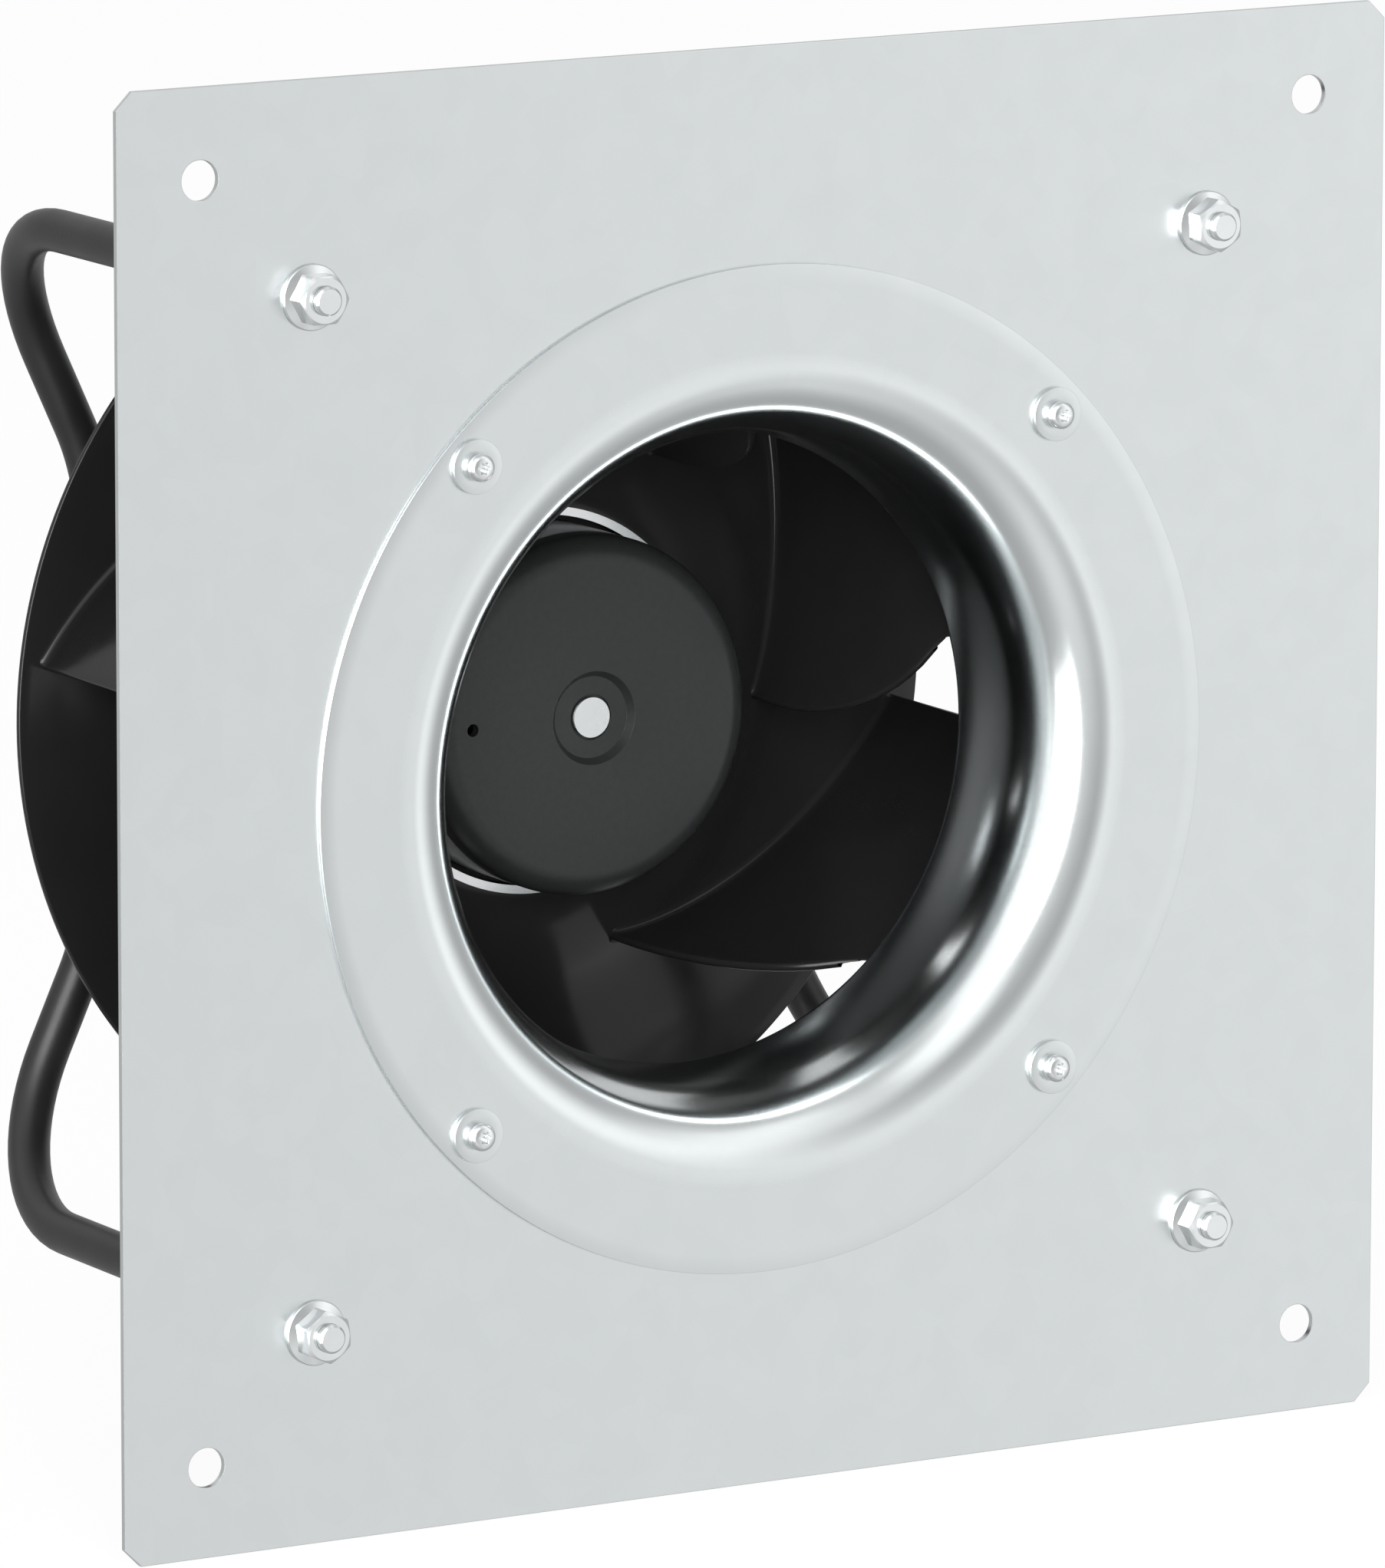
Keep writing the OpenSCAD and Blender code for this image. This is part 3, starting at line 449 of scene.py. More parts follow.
def nozzle_line(inset):
    """One side of the nozzle's sheet, in three arcs from the mouth to the rear rim."""
    radii = (LIP_R,) + bend_radii()
    ends = [-90] + [-90 - math.degrees(a) for a in BENDS] + [-180]
    (x, y), line = (MOUTH_R, LIP_DEPTH), []
    for i, r in enumerate(radii):
        line += arc((x, y), r - inset, ends[i], ends[i + 1], BEND_STEPS)[1 if i else 0:]
        if i + 1 < len(radii):
            end = math.radians(ends[i + 1])
            x += (r - radii[i + 1]) * math.cos(end)
            y += (r - radii[i + 1]) * math.sin(end)
    return line


rear_rim = arc((THROAT_R + NOZZLE_T / 2, THROAT_DEPTH), NOZZLE_T / 2, 180, 0, RIM_STEPS)[1:-1]
flange_edge = eased([(FLANGE_R - FLANGE_EASE, 0), (FLANGE_R, 0), (FLANGE_R, -NOZZLE_T),
                     (FLANGE_R - FLANGE_EASE, -NOZZLE_T)], {1: SHEET_EDGE, 2: SHEET_EDGE})
flat_end = MOUTH_R + FLAT_MARGIN
nozzle = flange_edge + [(flat_end, -NOZZLE_T)] + nozzle_line(0) + rear_rim
nozzle += nozzle_line(NOZZLE_T)[::-1] + [(flat_end, 0)]
piece("inlet_nozzle_drawn", turned(nozzle, NOZZLE_SEGMENTS), "bright_galvanised", "frame", ["inlet_nozzle"])

# Mounting plate

PLATE_W, PLATE_CORNER, PLATE_EASE = 400, 5, 0.2
WALL_PITCH, WALL_HOLE_R = 350, 5.5
STUD_PITCH, STUD_R = 400 * math.sin(math.radians(45)), 4
SCREW_PITCH, SCREW_R = 260 * math.sin(math.radians(45)), 2.5
HOLE_GAP, OPENING_GAP = 0.5, 3
HOLE_SEGMENTS, OPENING_SEGMENTS = 64, 240


def plate_outline(inset):
    half = PLATE_W / 2 - inset
    low = PLATE_W / 2 - PLATE_CORNER - inset * (math.sqrt(2) - 1)
    quarter = [(half, -low), (half, low), (low, half), (-low, half)]
    return quarter + [(-x, -z) for x, z in quarter]


plate_edges = [plate_outline, circle(0, 0, MOUTH_R + OPENING_GAP, OPENING_SEGMENTS)]
for pitch, r in ((WALL_PITCH, WALL_HOLE_R), (STUD_PITCH, STUD_R + HOLE_GAP),
                 (SCREW_PITCH, SCREW_R + HOLE_GAP)):
    plate_edges += [circle(x, z, r, HOLE_SEGMENTS) for x, z in corners(pitch)]
piece("mounting_plate_pierced", pierced_sheet(plate_edges, 0, PLATE_T, PLATE_EASE), "galvanised_sheet",
      "frame", ["mounting_plate"], angle=20)

# Nozzle screws and washers

WASHER_R, WASHER_T = 7.5, 1.5
HEAD_R, HEAD_H, HEAD_FLAT_R, HEAD_ROUND_H = 3.8, 3.3, 2.75, 1.3
HEAD_SLOPE, HEAD_STEPS, HEAD_EDGE = math.radians(40), 6, 0.15
GROOVE_H, GROOVE_IN = 0.35, 0.15
SCREW_END, SCREW_TIP = 7.0, 0.5
RECESS_MID_R, RECESS_WAVE, RECESS_LOBES, RECESS_SINK, RECESS_EDGE = 1.55, 0.22, 6, 1.9, 0.08
SCREW_SEGMENTS = 72


def recess(angle):
    return RECESS_MID_R + RECESS_WAVE * math.cos(RECESS_LOBES * angle)


def screw(x, z):
    seat = -NOZZLE_T - WASHER_T
    front = seat - HEAD_H
    shoulder = front + HEAD_ROUND_H
    groove_r, groove_start = HEAD_R - GROOVE_IN, shoulder + GROOVE_IN
    groove_end = groove_start + GROOVE_H
    profile = [(recess, front + RECESS_SINK), (recess, front + RECESS_EDGE),
               (lambda a: recess(a) + RECESS_EDGE, front)]
    bend = [HEAD_SLOPE + (math.pi / 2 - HEAD_SLOPE) * i / HEAD_STEPS for i in range(HEAD_STEPS + 1)]
    across, along = 1 - math.sin(HEAD_SLOPE), math.cos(HEAD_SLOPE)
    profile += [(HEAD_R - (HEAD_R - HEAD_FLAT_R) * (1 - math.sin(t)) / across,
                 shoulder - HEAD_ROUND_H * math.cos(t) / along) for t in bend]
    profile += [(groove_r, groove_start), (groove_r, groove_end), (HEAD_R, groove_end + GROOVE_IN),
                (HEAD_R, seat - HEAD_EDGE), (HEAD_R - HEAD_EDGE, seat), (SCREW_R, seat),
                (SCREW_R, SCREW_END - SCREW_TIP), (SCREW_R - SCREW_TIP, SCREW_END)]
    return turned(profile, SCREW_SEGMENTS, (x, z), closed=False)


def washer(x, z):
    r_in, front = SCREW_R + HOLE_GAP, -NOZZLE_T - WASHER_T
    profile = [(r_in, -NOZZLE_T), (WASHER_R, -NOZZLE_T), (WASHER_R, front), (r_in, front)]
    return turned(eased(profile, dict.fromkeys((1, 2, 3), SHEET_EDGE)), SCREW_SEGMENTS, (x, z))


screw_places = corners(SCREW_PITCH)
piece("nozzle_screws_headed", join(screw(x, z) for x, z in screw_places), "zinc_fasteners", "frame",
      ["nozzle_screws"], angle=32)
piece("nozzle_washers_eased", join(washer(x, z) for x, z in screw_places), "galvanised_sheet", "frame",
      ["nozzle_washers"], angle=30)

# Strut nuts

NUT_AF, NUT_CORNER_R, NUT_H, NUT_FACE_R = 13, 7.4, 8, 6.17
NUT_FLANGE_R, NUT_FLANGE_H, NUT_SKIRT_H = 9, 1.1, 1.75
NUT_FLANGE_EDGE, NUT_SKIRT_EDGE = 0.3, 0.25
NUT_BEVEL = math.tan(math.radians(30))
NUT_TURNS = (24, 0, 0, 27)
NUT_SEGMENTS = 120
THREAD_GAP = 0.05


def flange_nut(x, z, turn):
    skirt_slope = (NUT_SKIRT_H - NUT_FLANGE_H) / (NUT_FLANGE_R - NUT_AF / 2)

    def flat(angle):
        off = (math.degrees(angle) + turn) % 60 - 30
        return min(NUT_AF / 2 / math.cos(math.radians(off)), NUT_CORNER_R)

    def bevel_depth(angle):
        return -NUT_H + (flat(angle) - NUT_FACE_R) * NUT_BEVEL

    def foot_depth(angle):
        return -NUT_SKIRT_H + (flat(angle) - NUT_AF / 2) * skirt_slope

    bore = STUD_R + THREAD_GAP
    profile = [(bore, 0), (bore, -NUT_H), (NUT_FACE_R, -NUT_H), (flat, bevel_depth), (flat, foot_depth),
               (NUT_FLANGE_R - NUT_SKIRT_EDGE, -NUT_FLANGE_H),
               (NUT_FLANGE_R, NUT_FLANGE_EDGE - NUT_FLANGE_H),
               (NUT_FLANGE_R, -NUT_FLANGE_EDGE), (NUT_FLANGE_R - NUT_FLANGE_EDGE, 0)]
    return turned(profile, NUT_SEGMENTS, (x, z))


low_row, high_row = -STUD_PITCH / 2, STUD_PITCH / 2
nut_places = [(x, z) for z in (low_row, high_row) for x in (low_row, high_row)]
piece("strut_flange_nuts_cut", join(flange_nut(x, z, turn) for (x, z), turn in zip(nut_places, NUT_TURNS)),
      "zinc_fasteners", "frame", ["strut_flange_nuts"], angle=25)

# Rotor cup

ROTOR_R, ROTOR_FRONT, ROTOR_END, ROTOR_WALL, ROTOR_EDGE = 51.2, 93.8, 150, 3, 7
RECESS_R, RECESS_FLOOR_R, RECESS_H, BOSS_R, BOSS_L, SHAFT_R = 13.3, 11.6, 2, 18, 14, 6
SHAFT_SINK, SHAFT_SINK_R = 0.7, 6.5
SINK_EDGE, RECESS_ROUND, FACE_MARGIN = 0.1, 0.3, 0.5
OUTER_STEPS, INNER_STEPS = 20, 12
BALANCE_X, BALANCE_R, DRILL_OVER, DRILL_SEGMENTS = -39, 1.8, 1, 48

recess_floor = ROTOR_FRONT + RECESS_H
boss_end = ROTOR_FRONT + BOSS_L
edge_centre = (ROTOR_R - ROTOR_EDGE, ROTOR_FRONT + ROTOR_EDGE)
cup = eased([(SHAFT_R, recess_floor + SHAFT_SINK), (SHAFT_SINK_R, recess_floor + SHAFT_SINK),
             (SHAFT_SINK_R, recess_floor), (RECESS_FLOOR_R, recess_floor), (RECESS_R, ROTOR_FRONT),
             (ROTOR_R - ROTOR_EDGE - FACE_MARGIN, ROTOR_FRONT)],
            {2: SINK_EDGE, 3: RECESS_ROUND, 4: RECESS_ROUND})
cup += arc(edge_centre, ROTOR_EDGE, -90, 0, OUTER_STEPS)
cup += [(ROTOR_R, ROTOR_END), (ROTOR_R - ROTOR_WALL, ROTOR_END)]
cup += arc(edge_centre, ROTOR_EDGE - ROTOR_WALL, 0, -90, INNER_STEPS)
cup += [(BOSS_R, ROTOR_FRONT + ROTOR_WALL), (BOSS_R, boss_end), (SHAFT_R, boss_end)]
rotor = piece("rotor_cup_turned", turned(cup), "rotor_paint", "rotor", ["rotor_cup"])


def drill(obj, x, z, r, front, back, angle=35):
    """Cuts a round hole through a piece, along the fan axis."""
    shape = turned([(r, front), (r, back)], DRILL_SEGMENTS, (x, z), closed=False)
    tool = new_object("drill", solid_mesh("drill", shape))
    cut = obj.modifiers.new("hole", "BOOLEAN")
    cut.operation, cut.solver, cut.object = "DIFFERENCE", "EXACT", tool
    graph = bpy.context.evaluated_depsgraph_get()
    drilled = bpy.data.meshes.new_from_object(obj.evaluated_get(graph))
    obj.modifiers.clear()
    obj.data = drilled
    bpy.data.objects.remove(tool)
    smooth(obj, angle)


drill(rotor, BALANCE_X, 0, BALANCE_R, ROTOR_FRONT - DRILL_OVER, ROTOR_FRONT + ROTOR_WALL + DRILL_OVER)

# Impeller disc and shroud

HUB_LIP_R, CARRIER_R, HUB_DEPTH, DISC_DEPTH, DISC_R, DISC_T = 59.0, 55.3, 126.7, 160, 146.7, 2
HUB_CONE, HUB_BLEND_R, COLLAR_L = math.radians(34), 87, 15
HUB_STEPS, DISC_RIM_W, DISC_EDGE = 28, 4, 0.6
CONE_END_R = HUB_LIP_R + (DISC_DEPTH - HUB_DEPTH) / math.tan(HUB_CONE)
BLEND_END_R = CONE_END_R + HUB_BLEND_R * math.tan(HUB_CONE / 2)
BLEND_START_R = BLEND_END_R - HUB_BLEND_R * math.sin(HUB_CONE)
SHROUD_IN_R, SHROUD_DEPTH, SHROUD_STRAIGHT, SHROUD_CURVE_R = 94, 37, 2, 42
SHROUD_CONE, SHROUD_OUT_R, SHROUD_T = math.radians(25), 145, 2.4
SHROUD_STEPS, SHROUD_EDGE = 28, 0.8
SHROUD_TURN = math.pi / 2 - SHROUD_CONE
SHROUD_C = (SHROUD_IN_R + SHROUD_CURVE_R, SHROUD_DEPTH + SHROUD_STRAIGHT)


def hub_depth(r):
    """Depth of the hub's front at a radius."""
    if r <= BLEND_START_R:
        return HUB_DEPTH + (r - HUB_LIP_R) * math.tan(HUB_CONE)
    if r >= BLEND_END_R:
        return DISC_DEPTH
    return DISC_DEPTH - HUB_BLEND_R + math.sqrt(HUB_BLEND_R ** 2 - (BLEND_END_R - r) ** 2)


def shroud_depth(r):
    """Depth of the shroud's inside at a radius."""
    end_r = SHROUD_C[0] - SHROUD_CURVE_R * math.cos(SHROUD_TURN)
    if r <= end_r:
        return SHROUD_C[1] + math.sqrt(max(0, SHROUD_CURVE_R ** 2 - (SHROUD_C[0] - r) ** 2))
    return SHROUD_C[1] + SHROUD_CURVE_R * math.sin(SHROUD_TURN) + (r - end_r) * math.tan(SHROUD_CONE)


def shroud_line(wall):
    """One side of the shroud, from its inlet to its outer rim."""
    curve = arc(SHROUD_C, SHROUD_CURVE_R - wall, 180, 180 - math.degrees(SHROUD_TURN), SHROUD_STEPS)
    outer_rim = (SHROUD_OUT_R + wall * math.sin(SHROUD_CONE),
                 shroud_depth(SHROUD_OUT_R) - wall * math.cos(SHROUD_CONE))
    return [(SHROUD_IN_R + wall, SHROUD_DEPTH)] + curve + [outer_rim]


blend = [BLEND_START_R + (BLEND_END_R - BLEND_START_R) * i / HUB_STEPS for i in range(HUB_STEPS + 1)]
hub_front = [(HUB_LIP_R, HUB_DEPTH)] + [(r, hub_depth(r)) for r in blend]
hub_back = [(r, y + DISC_T) for r, y in hub_front[:0:-1]]
hub_rim = eased([(DISC_R - DISC_RIM_W, DISC_DEPTH), (DISC_R, DISC_DEPTH), (DISC_R, DISC_DEPTH + DISC_T),
                 (DISC_R - DISC_RIM_W, DISC_DEPTH + DISC_T)], {1: DISC_EDGE, 2: DISC_EDGE})
collar = [(HUB_LIP_R, HUB_DEPTH + DISC_T + (HUB_LIP_R - CARRIER_R) * math.tan(HUB_CONE)),
          (HUB_LIP_R, HUB_DEPTH + COLLAR_L), (CARRIER_R, HUB_DEPTH + COLLAR_L)]
piece("impeller_disc_moulded", turned([(CARRIER_R, HUB_DEPTH)] + hub_front + hub_rim + hub_back + collar),
      "impeller_plastic", "rotor", ["impeller_disc"])
shroud_inside, shroud_outside = shroud_line(0), shroud_line(SHROUD_T)[::-1]
side_end = len(shroud_inside)
shroud_corners = (0, side_end - 1, side_end, 2 * side_end - 1)
piece("impeller_shroud_moulded",
      turned(eased(shroud_inside + shroud_outside, dict.fromkeys(shroud_corners, SHROUD_EDGE))),
      "impeller_plastic", "rotor", ["impeller_shroud"])

# Impeller blades

BLADES, BLADE_T, BLADE_ARC_R, BLADE_CENTRE_R, BLADE_PHASE = 6, 2.4, 128, 63.3, -29.7
BLADE_OUT_R, FILLET = 139.6, 2.0
CHORD_STEPS, SPAN_STEPS, NOSE_STEPS, FILLET_STEPS = 44, 22, 6, 5
# Leading edge as a curve of (radius, depth): its foot on the hub, its pull and its end under the shroud
LEAD_FOOT, LEAD_PULL, LEAD_TOP = (80.2, 141.1), (78.3, 73), (96.5, 54.6)
LEAD_RANGE, LEAD_HALVINGS = (76, 112), 30


def lead_radius(depth):
    """Radius of the bowed leading edge at a depth."""
    a = LEAD_FOOT[1] - 2 * LEAD_PULL[1] + LEAD_TOP[1]
    b = 2 * (LEAD_PULL[1] - LEAD_FOOT[1])
    t = (-b - math.sqrt(max(0, b * b - 4 * a * (LEAD_FOOT[1] - depth)))) / (2 * a)
    return (1 - t) ** 2 * LEAD_FOOT[0] + 2 * t * (1 - t) * LEAD_PULL[0] + t * t * LEAD_TOP[0]


def blade_rows():
    """Each row across the span: a function of the radius, and the widening by the fillet there."""
    drops = [FILLET * (1 - math.cos(math.pi / 2 * i / FILLET_STEPS)) for i in range(FILLET_STEPS + 1)]
    widen = [FILLET - math.sqrt(max(0, FILLET ** 2 - (FILLET - d) ** 2)) for d in drops]
    rows = [(lambda r, d=d: hub_depth(r) - d, w) for d, w in zip(drops, widen)]
    for i in range(1, SPAN_STEPS):
        t = i / SPAN_STEPS
        rows.append((lambda r, t=t: (hub_depth(r) - FILLET) * (1 - t) + (shroud_depth(r) + FILLET) * t, 0))
    return rows + [(lambda r, d=d: shroud_depth(r) + d, w) for d, w in zip(drops[::-1], widen[::-1])]


def arc_angle(r):
    """Angle on the blade's arc at a distance from the fan axis."""
    return math.acos((r * r - BLADE_CENTRE_R ** 2 - BLADE_ARC_R ** 2) / (2 * BLADE_CENTRE_R * BLADE_ARC_R))


def row_start(row_depth):
    """Radius where a row meets the leading edge, halving the range that holds it."""
    low, high = LEAD_RANGE
    for _ in range(LEAD_HALVINGS):
        mid = (low + high) / 2
        low, high = (mid, high) if lead_radius(row_depth(mid)) > mid else (low, mid)
    return low


def section(row_depth, widen):
    """Closed outline of one blade row."""
    half = BLADE_T / 2 + widen
    start, end = arc_angle(row_start(row_depth)), arc_angle(BLADE_OUT_R)
    nose = half / BLADE_ARC_R
    bend = [math.pi / 2 * (i / NOSE_STEPS - 1) for i in range(2 * NOSE_STEPS + 1)]
    chord = [(start - nose) + (end - start + 2 * nose) * i / CHORD_STEPS for i in range(1, CHORD_STEPS)]
    outline = [(start - nose * (1 - math.cos(a)), half * math.sin(a)) for a in bend]
    outline += [(a, half) for a in chord]
    outline += [(end + nose * (1 - math.cos(a)), half * math.sin(a)) for a in bend[::-1]]
    outline += [(a, -half) for a in chord[::-1]]
    points = []
    for angle, offset in outline:
        x = BLADE_CENTRE_R + (BLADE_ARC_R + offset) * math.cos(angle)
        z = (BLADE_ARC_R + offset) * math.sin(angle)
        points.append((x, row_depth(math.hypot(x, z)), z))
    return points


def blade(rows, turn):
    c, s = math.cos(turn), math.sin(turn)
    return stack([[(x * c - z * s, y, -(x * s + z * c)) for x, y, z in row] for row in rows])


blade_sections = [section(depth, widen) for depth, widen in blade_rows()]
blade_turns = [math.radians(BLADE_PHASE - 90 + 360 / BLADES * k) for k in range(BLADES)]
piece("impeller_blades_moulded", join(blade(blade_sections, turn) for turn in blade_turns),
      "impeller_plastic", "rotor", ["impeller_blades"], angle=50)

# Bent rods

ROD_R, ROD_EASE, STRUT_DEPTH = 6, 0.6, 190.5
STUD_REACH, STUD_EASE = 10.25, 0.65
RUN_X, KNEE_Z, KNEE_R, ELBOW_R = 106, 64.5, 70, 47
ROD_SEGMENTS, BENT_STEPS = 40, 18


def bent(points, radii):
    """Line through points with each inner corner bent to a radius."""
    pts = [Vector(p) for p in points]
    line = [pts[0]]
    for before, p, after, r in zip(pts, pts[1:], pts[2:], radii):
        u, v = (before - p).normalized(), (after - p).normalized()
        half = u.angle(v) / 2
        centre = p + (u + v).normalized() * (r / math.sin(half))
        start = p + u * (r / math.tan(half)) - centre
        axis = u.cross(v).normalized()
        turn = math.pi - 2 * half
        line += [centre + Matrix.Rotation(-turn * i / BENT_STEPS, 3, axis) @ start
                 for i in range(BENT_STEPS + 1)]
    return line + [pts[-1]]


def rod(line, r, ease):
    """Round rod along a line, with eased ends."""
    tangent = [(b - a).normalized() for a, b in zip(line, line[1:])]
    tangent = [tangent[0]] + [(a + b).normalized() for a, b in zip(tangent, tangent[1:])] + [tangent[-1]]
    side = tangent[0].orthogonal().normalized()
    places = [(line[0], tangent[0], r - ease), (line[0] + tangent[0] * ease, tangent[0], r)]
    places += [(p, t, r) for p, t in zip(line[1:-1], tangent[1:-1])]
    places += [(line[-1] - tangent[-1] * ease, tangent[-1], r), (line[-1], tangent[-1], r - ease)]
    rings = []
    for p, t, radius in places:
        side = (side - t * side.dot(t)).normalized()
        over = t.cross(side)
        rings.append([p + (side * math.cos(a) + over * math.sin(a)) * radius for a in turns(ROD_SEGMENTS)])
    return stack(rings)


def stud(x, z):
    line = [Vector((x, depth, z)) for depth in (-STUD_REACH, 0, PLATE_T)]
    return rod(line, STUD_R, STUD_EASE)


for side, name in ((-1, "left_strut"), (1, "right_strut")):
    x, z = side * high_row, high_row
    path = bent([(x, PLATE_T, z), (x, STRUT_DEPTH, z), (side * RUN_X, STRUT_DEPTH, KNEE_Z),
                 (side * RUN_X, STRUT_DEPTH, -KNEE_Z), (x, STRUT_DEPTH, -z), (x, PLATE_T, -z)],
                [ELBOW_R, KNEE_R, KNEE_R, ELBOW_R])
    piece(name + "_bent", rod(path, ROD_R, ROD_EASE), "black_coating", "frame", [name])
    piece(name + "_studs", join(stud(x, end) for end in (z, -z)), "zinc_fasteners", "frame")

# CAD nodes that stay, with eased edges

EASE = {"motor_bracket": 0.4, "motor_screws": 0.3, "stator_housing": 0.35, "electronics_cover": 0.5,
        "cover_screws": 0.25, "cable_gland": 0.3, "carrier_ring": 0.25, "nozzle_press_nuts": 0.3}
EASE_SEGMENTS, EASE_ANGLE = 2, math.radians(40)
for name, width in EASE.items():
    bevel = NODES[name].modifiers.new("eased_edges", "BEVEL")
    bevel.width = width * MM
    bevel.segments = EASE_SEGMENTS
    bevel.limit_method = "ANGLE"
    bevel.angle_limit = EASE_ANGLE

# Camera, solved from the plate's corners

PHOTO_H, FOCAL_PX, SENSOR_MM = 2044, 17366, 36
AZIMUTH, ELEVATION, ROLL = math.radians(-30.51), math.radians(10.50), math.radians(0.096)
DISTANCE, SHIFT_X, SHIFT_Y = 3.6472, 0.02012, 0.0036
NEAR, FAR = 0.05, 60

back = Vector((math.sin(AZIMUTH) * math.cos(ELEVATION), -math.cos(AZIMUTH) * math.cos(ELEVATION),
               math.sin(ELEVATION)))
right = (-back).cross(Vector((0, 0, 1))).normalized()
up = right.cross(-back)
right, up = (right * math.cos(ROLL) + up * math.sin(ROLL), up * math.cos(ROLL) - right * math.sin(ROLL))
lens = bpy.data.cameras.new("camera")
lens.sensor_width = SENSOR_MM
lens.lens = FOCAL_PX * SENSOR_MM / PHOTO_H
lens.clip_start, lens.clip_end = NEAR, FAR
camera = new_object("camera", lens)
place = back * DISTANCE - right * SHIFT_X - up * SHIFT_Y
camera.matrix_world = Matrix.Translation(place) @ Matrix((right, up, back)).transposed().to_4x4()
bpy.context.scene.camera = camera

# Studio: white surround, pale floor that keeps the shadow, soft lamps

bpy.context.scene.view_settings.view_transform = "Standard"

# What metal sees round the studio: (azimuth in degrees from the front toward +X, brightness)
HORIZON = [(-180, 0.60), (-125, 0.60), (-108, 1.00), (-97, 0.85), (-88, 0.72), (-81, 1.20), (-76, 8.00),
           (-36, 8.00), (-31, 1.00), (-26, 0.88), (-15, 0.78), (-4, 0.66), (8, 0.56), (16, 0.66),
           (22, 0.79), (27, 0.97), (33, 1.24), (38, 1.40), (46, 1.30), (54, 1.00), (65, 0.64),
           (75, 0.55), (88, 0.62), (110, 0.80), (180, 0.60)]
OVERHEAD = [(-180, 0.80), (-110, 1.50), (-95, 1.20), (-80, 1.50), (-30, 1.60), (-8, 1.42), (10, 0.95),
            (25, 1.10), (42, 1.36), (55, 1.30), (66, 0.90), (80, 0.65), (97, 0.80), (180, 0.80)]
GROUND = [(-180, 0.55), (-110, 0.60), (-80, 0.56), (-55, 0.67), (-39, 0.81), (-26, 0.96), (-14, 1.00),
          (-3, 0.98), (12, 0.85), (20, 0.80), (33, 0.95), (45, 0.80), (60, 0.62), (77, 0.54), (90, 0.60),
          (180, 0.55)]
PEAK = 10.0
ZENITH, BELOW = 0.80, 0.55
# Heights of a ray's direction over which each zone takes the place of the one before
OVERHEAD_FADE, ZENITH_FADE, GROUND_FADE, BELOW_FADE = (0.35, 0.65), (0.85, 0.97), (-0.12, -0.45), (-0.6, -0.9)
AMBIENT, BACKGROUND = 0.34, 1.0
FLOOR_DROP, FLOOR_HALF = 0.0005, 12
FLOOR_GREY, FLOOR_GLOW, FLOOR_WHITE = 0.16, 0.22, 0.92


def brightness(tree, azimuth, stops):
    """Brightness between stops round the horizon."""
    ramp = tree.nodes.new("ShaderNodeValToRGB")
    elements = ramp.color_ramp.elements
    for i, (turn, level) in enumerate(stops):
        position = turn / 360 + 0.5
        element = elements[i] if i < 2 else elements.new(position)
        element.position = position
        element.color = (level / PEAK, level / PEAK, level / PEAK, 1)
    tree.links.new(azimuth, ramp.inputs["Fac"])
    return math_node(tree, "MULTIPLY", ramp.outputs["Color"], PEAK)


def surround(tree):
    """Brightness of the studio in the direction of a ray."""
    place = tree.nodes.new("ShaderNodeTexCoord")
    split = tree.nodes.new("ShaderNodeSeparateXYZ")
    tree.links.new(place.outputs["Generated"], split.inputs["Vector"])
    x, y, z = (split.outputs[axis] for axis in "XYZ")
    turn = math_node(tree, "ARCTAN2", x, math_node(tree, "MULTIPLY", y, -1.0))
    azimuth = remap(tree, turn, 0, 1, -math.pi, math.pi)
    level = brightness(tree, azimuth, HORIZON)
    for fade, zone in ((OVERHEAD_FADE, brightness(tree, azimuth, OVERHEAD)), (ZENITH_FADE, ZENITH),
                       (GROUND_FADE, brightness(tree, azimuth, GROUND)), (BELOW_FADE, BELOW)):
        level = mix(tree, remap(tree, z, 0, 1, *fade), level, zone)
    return level


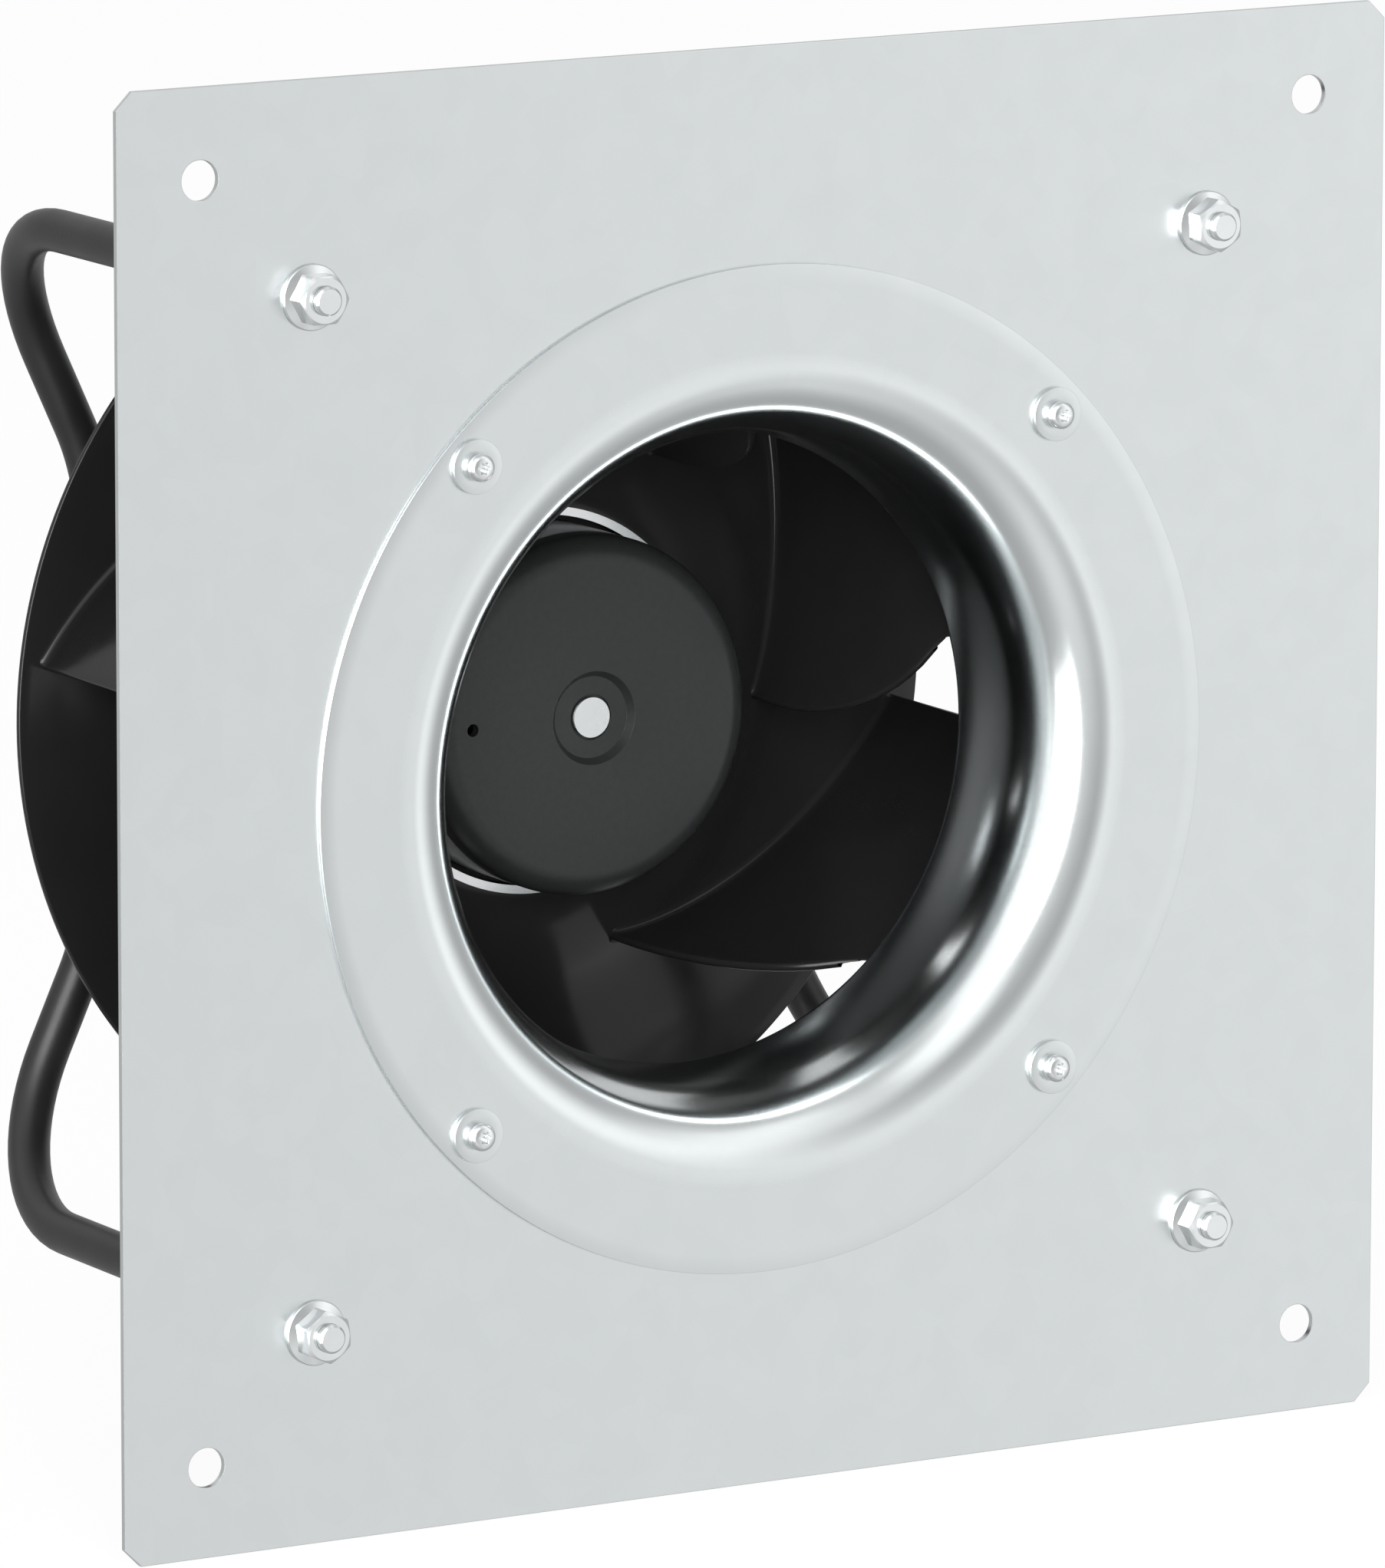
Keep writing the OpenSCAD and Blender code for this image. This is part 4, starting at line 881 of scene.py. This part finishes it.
def seen_directly(tree):
    """The kinds of ray, and 1 for those from the camera or through glass."""
    rays = tree.nodes.new("ShaderNodeLightPath").outputs
    return rays, math_node(tree, "MAXIMUM", rays["Is Camera Ray"], rays["Is Transmission Ray"])


world = bpy.data.worlds.new("studio")
bpy.context.scene.world = world
world.use_nodes = True
tree = world.node_tree
sky = tree.nodes["Background"]
sky.inputs["Color"].default_value = (1, 1, 1, 1)
rays, seen = seen_directly(tree)
plain = remap(tree, seen, AMBIENT, BACKGROUND, 0, 1)
tree.links.new(mix(tree, rays["Is Glossy Ray"], plain, surround(tree)), sky.inputs["Strength"])

floor_mesh = bpy.data.meshes.new("floor")
floor_mesh.from_pydata([(sx * FLOOR_HALF, sy * FLOOR_HALF, cad_lo.z - FLOOR_DROP)
                        for sx, sy in ((-1, -1), (1, -1), (1, 1), (-1, 1))], [], [(0, 1, 2, 3)])
floor = new_object("floor", floor_mesh)
floor.visible_glossy = False
mat, tree, shader = new_material("floor")
floor_mesh.materials.append(mat)
shader.inputs["Base Color"].default_value = (FLOOR_GREY, FLOOR_GREY, FLOOR_GREY, 1)
shader.inputs["Roughness"].default_value = 1.0
shader.inputs["Specular IOR Level"].default_value = 0.0
shader.inputs["Emission Color"].default_value = (1, 1, 1, 1)
_, seen = seen_directly(tree)
tree.links.new(remap(tree, seen, FLOOR_GLOW, FLOOR_WHITE, 0, 1), shader.inputs["Emission Strength"])


def softbox(name, place, size, power, mirrored=True):
    """Area lamp aimed at the middle of the plate."""
    data = bpy.data.lights.new(name, "AREA")
    data.shape = "RECTANGLE"
    data.size, data.size_y = size
    data.energy = power
    lamp = new_object(name, data)
    lamp.location = place
    lamp.rotation_mode = "QUATERNION"
    lamp.rotation_quaternion = (-Vector(place)).to_track_quat("-Z", "Y")
    lamp.visible_glossy = mirrored


softbox("key", place=(-2.6, -2.0, 1.6), size=(1.6, 1.6), power=20)
softbox("front", place=(-1.4, -2.75, 0.6), size=(1.4, 1.4), power=58, mirrored=False)
softbox("fill", place=(2.4, -1.8, 1.2), size=(1.6, 1.2), power=4, mirrored=False)
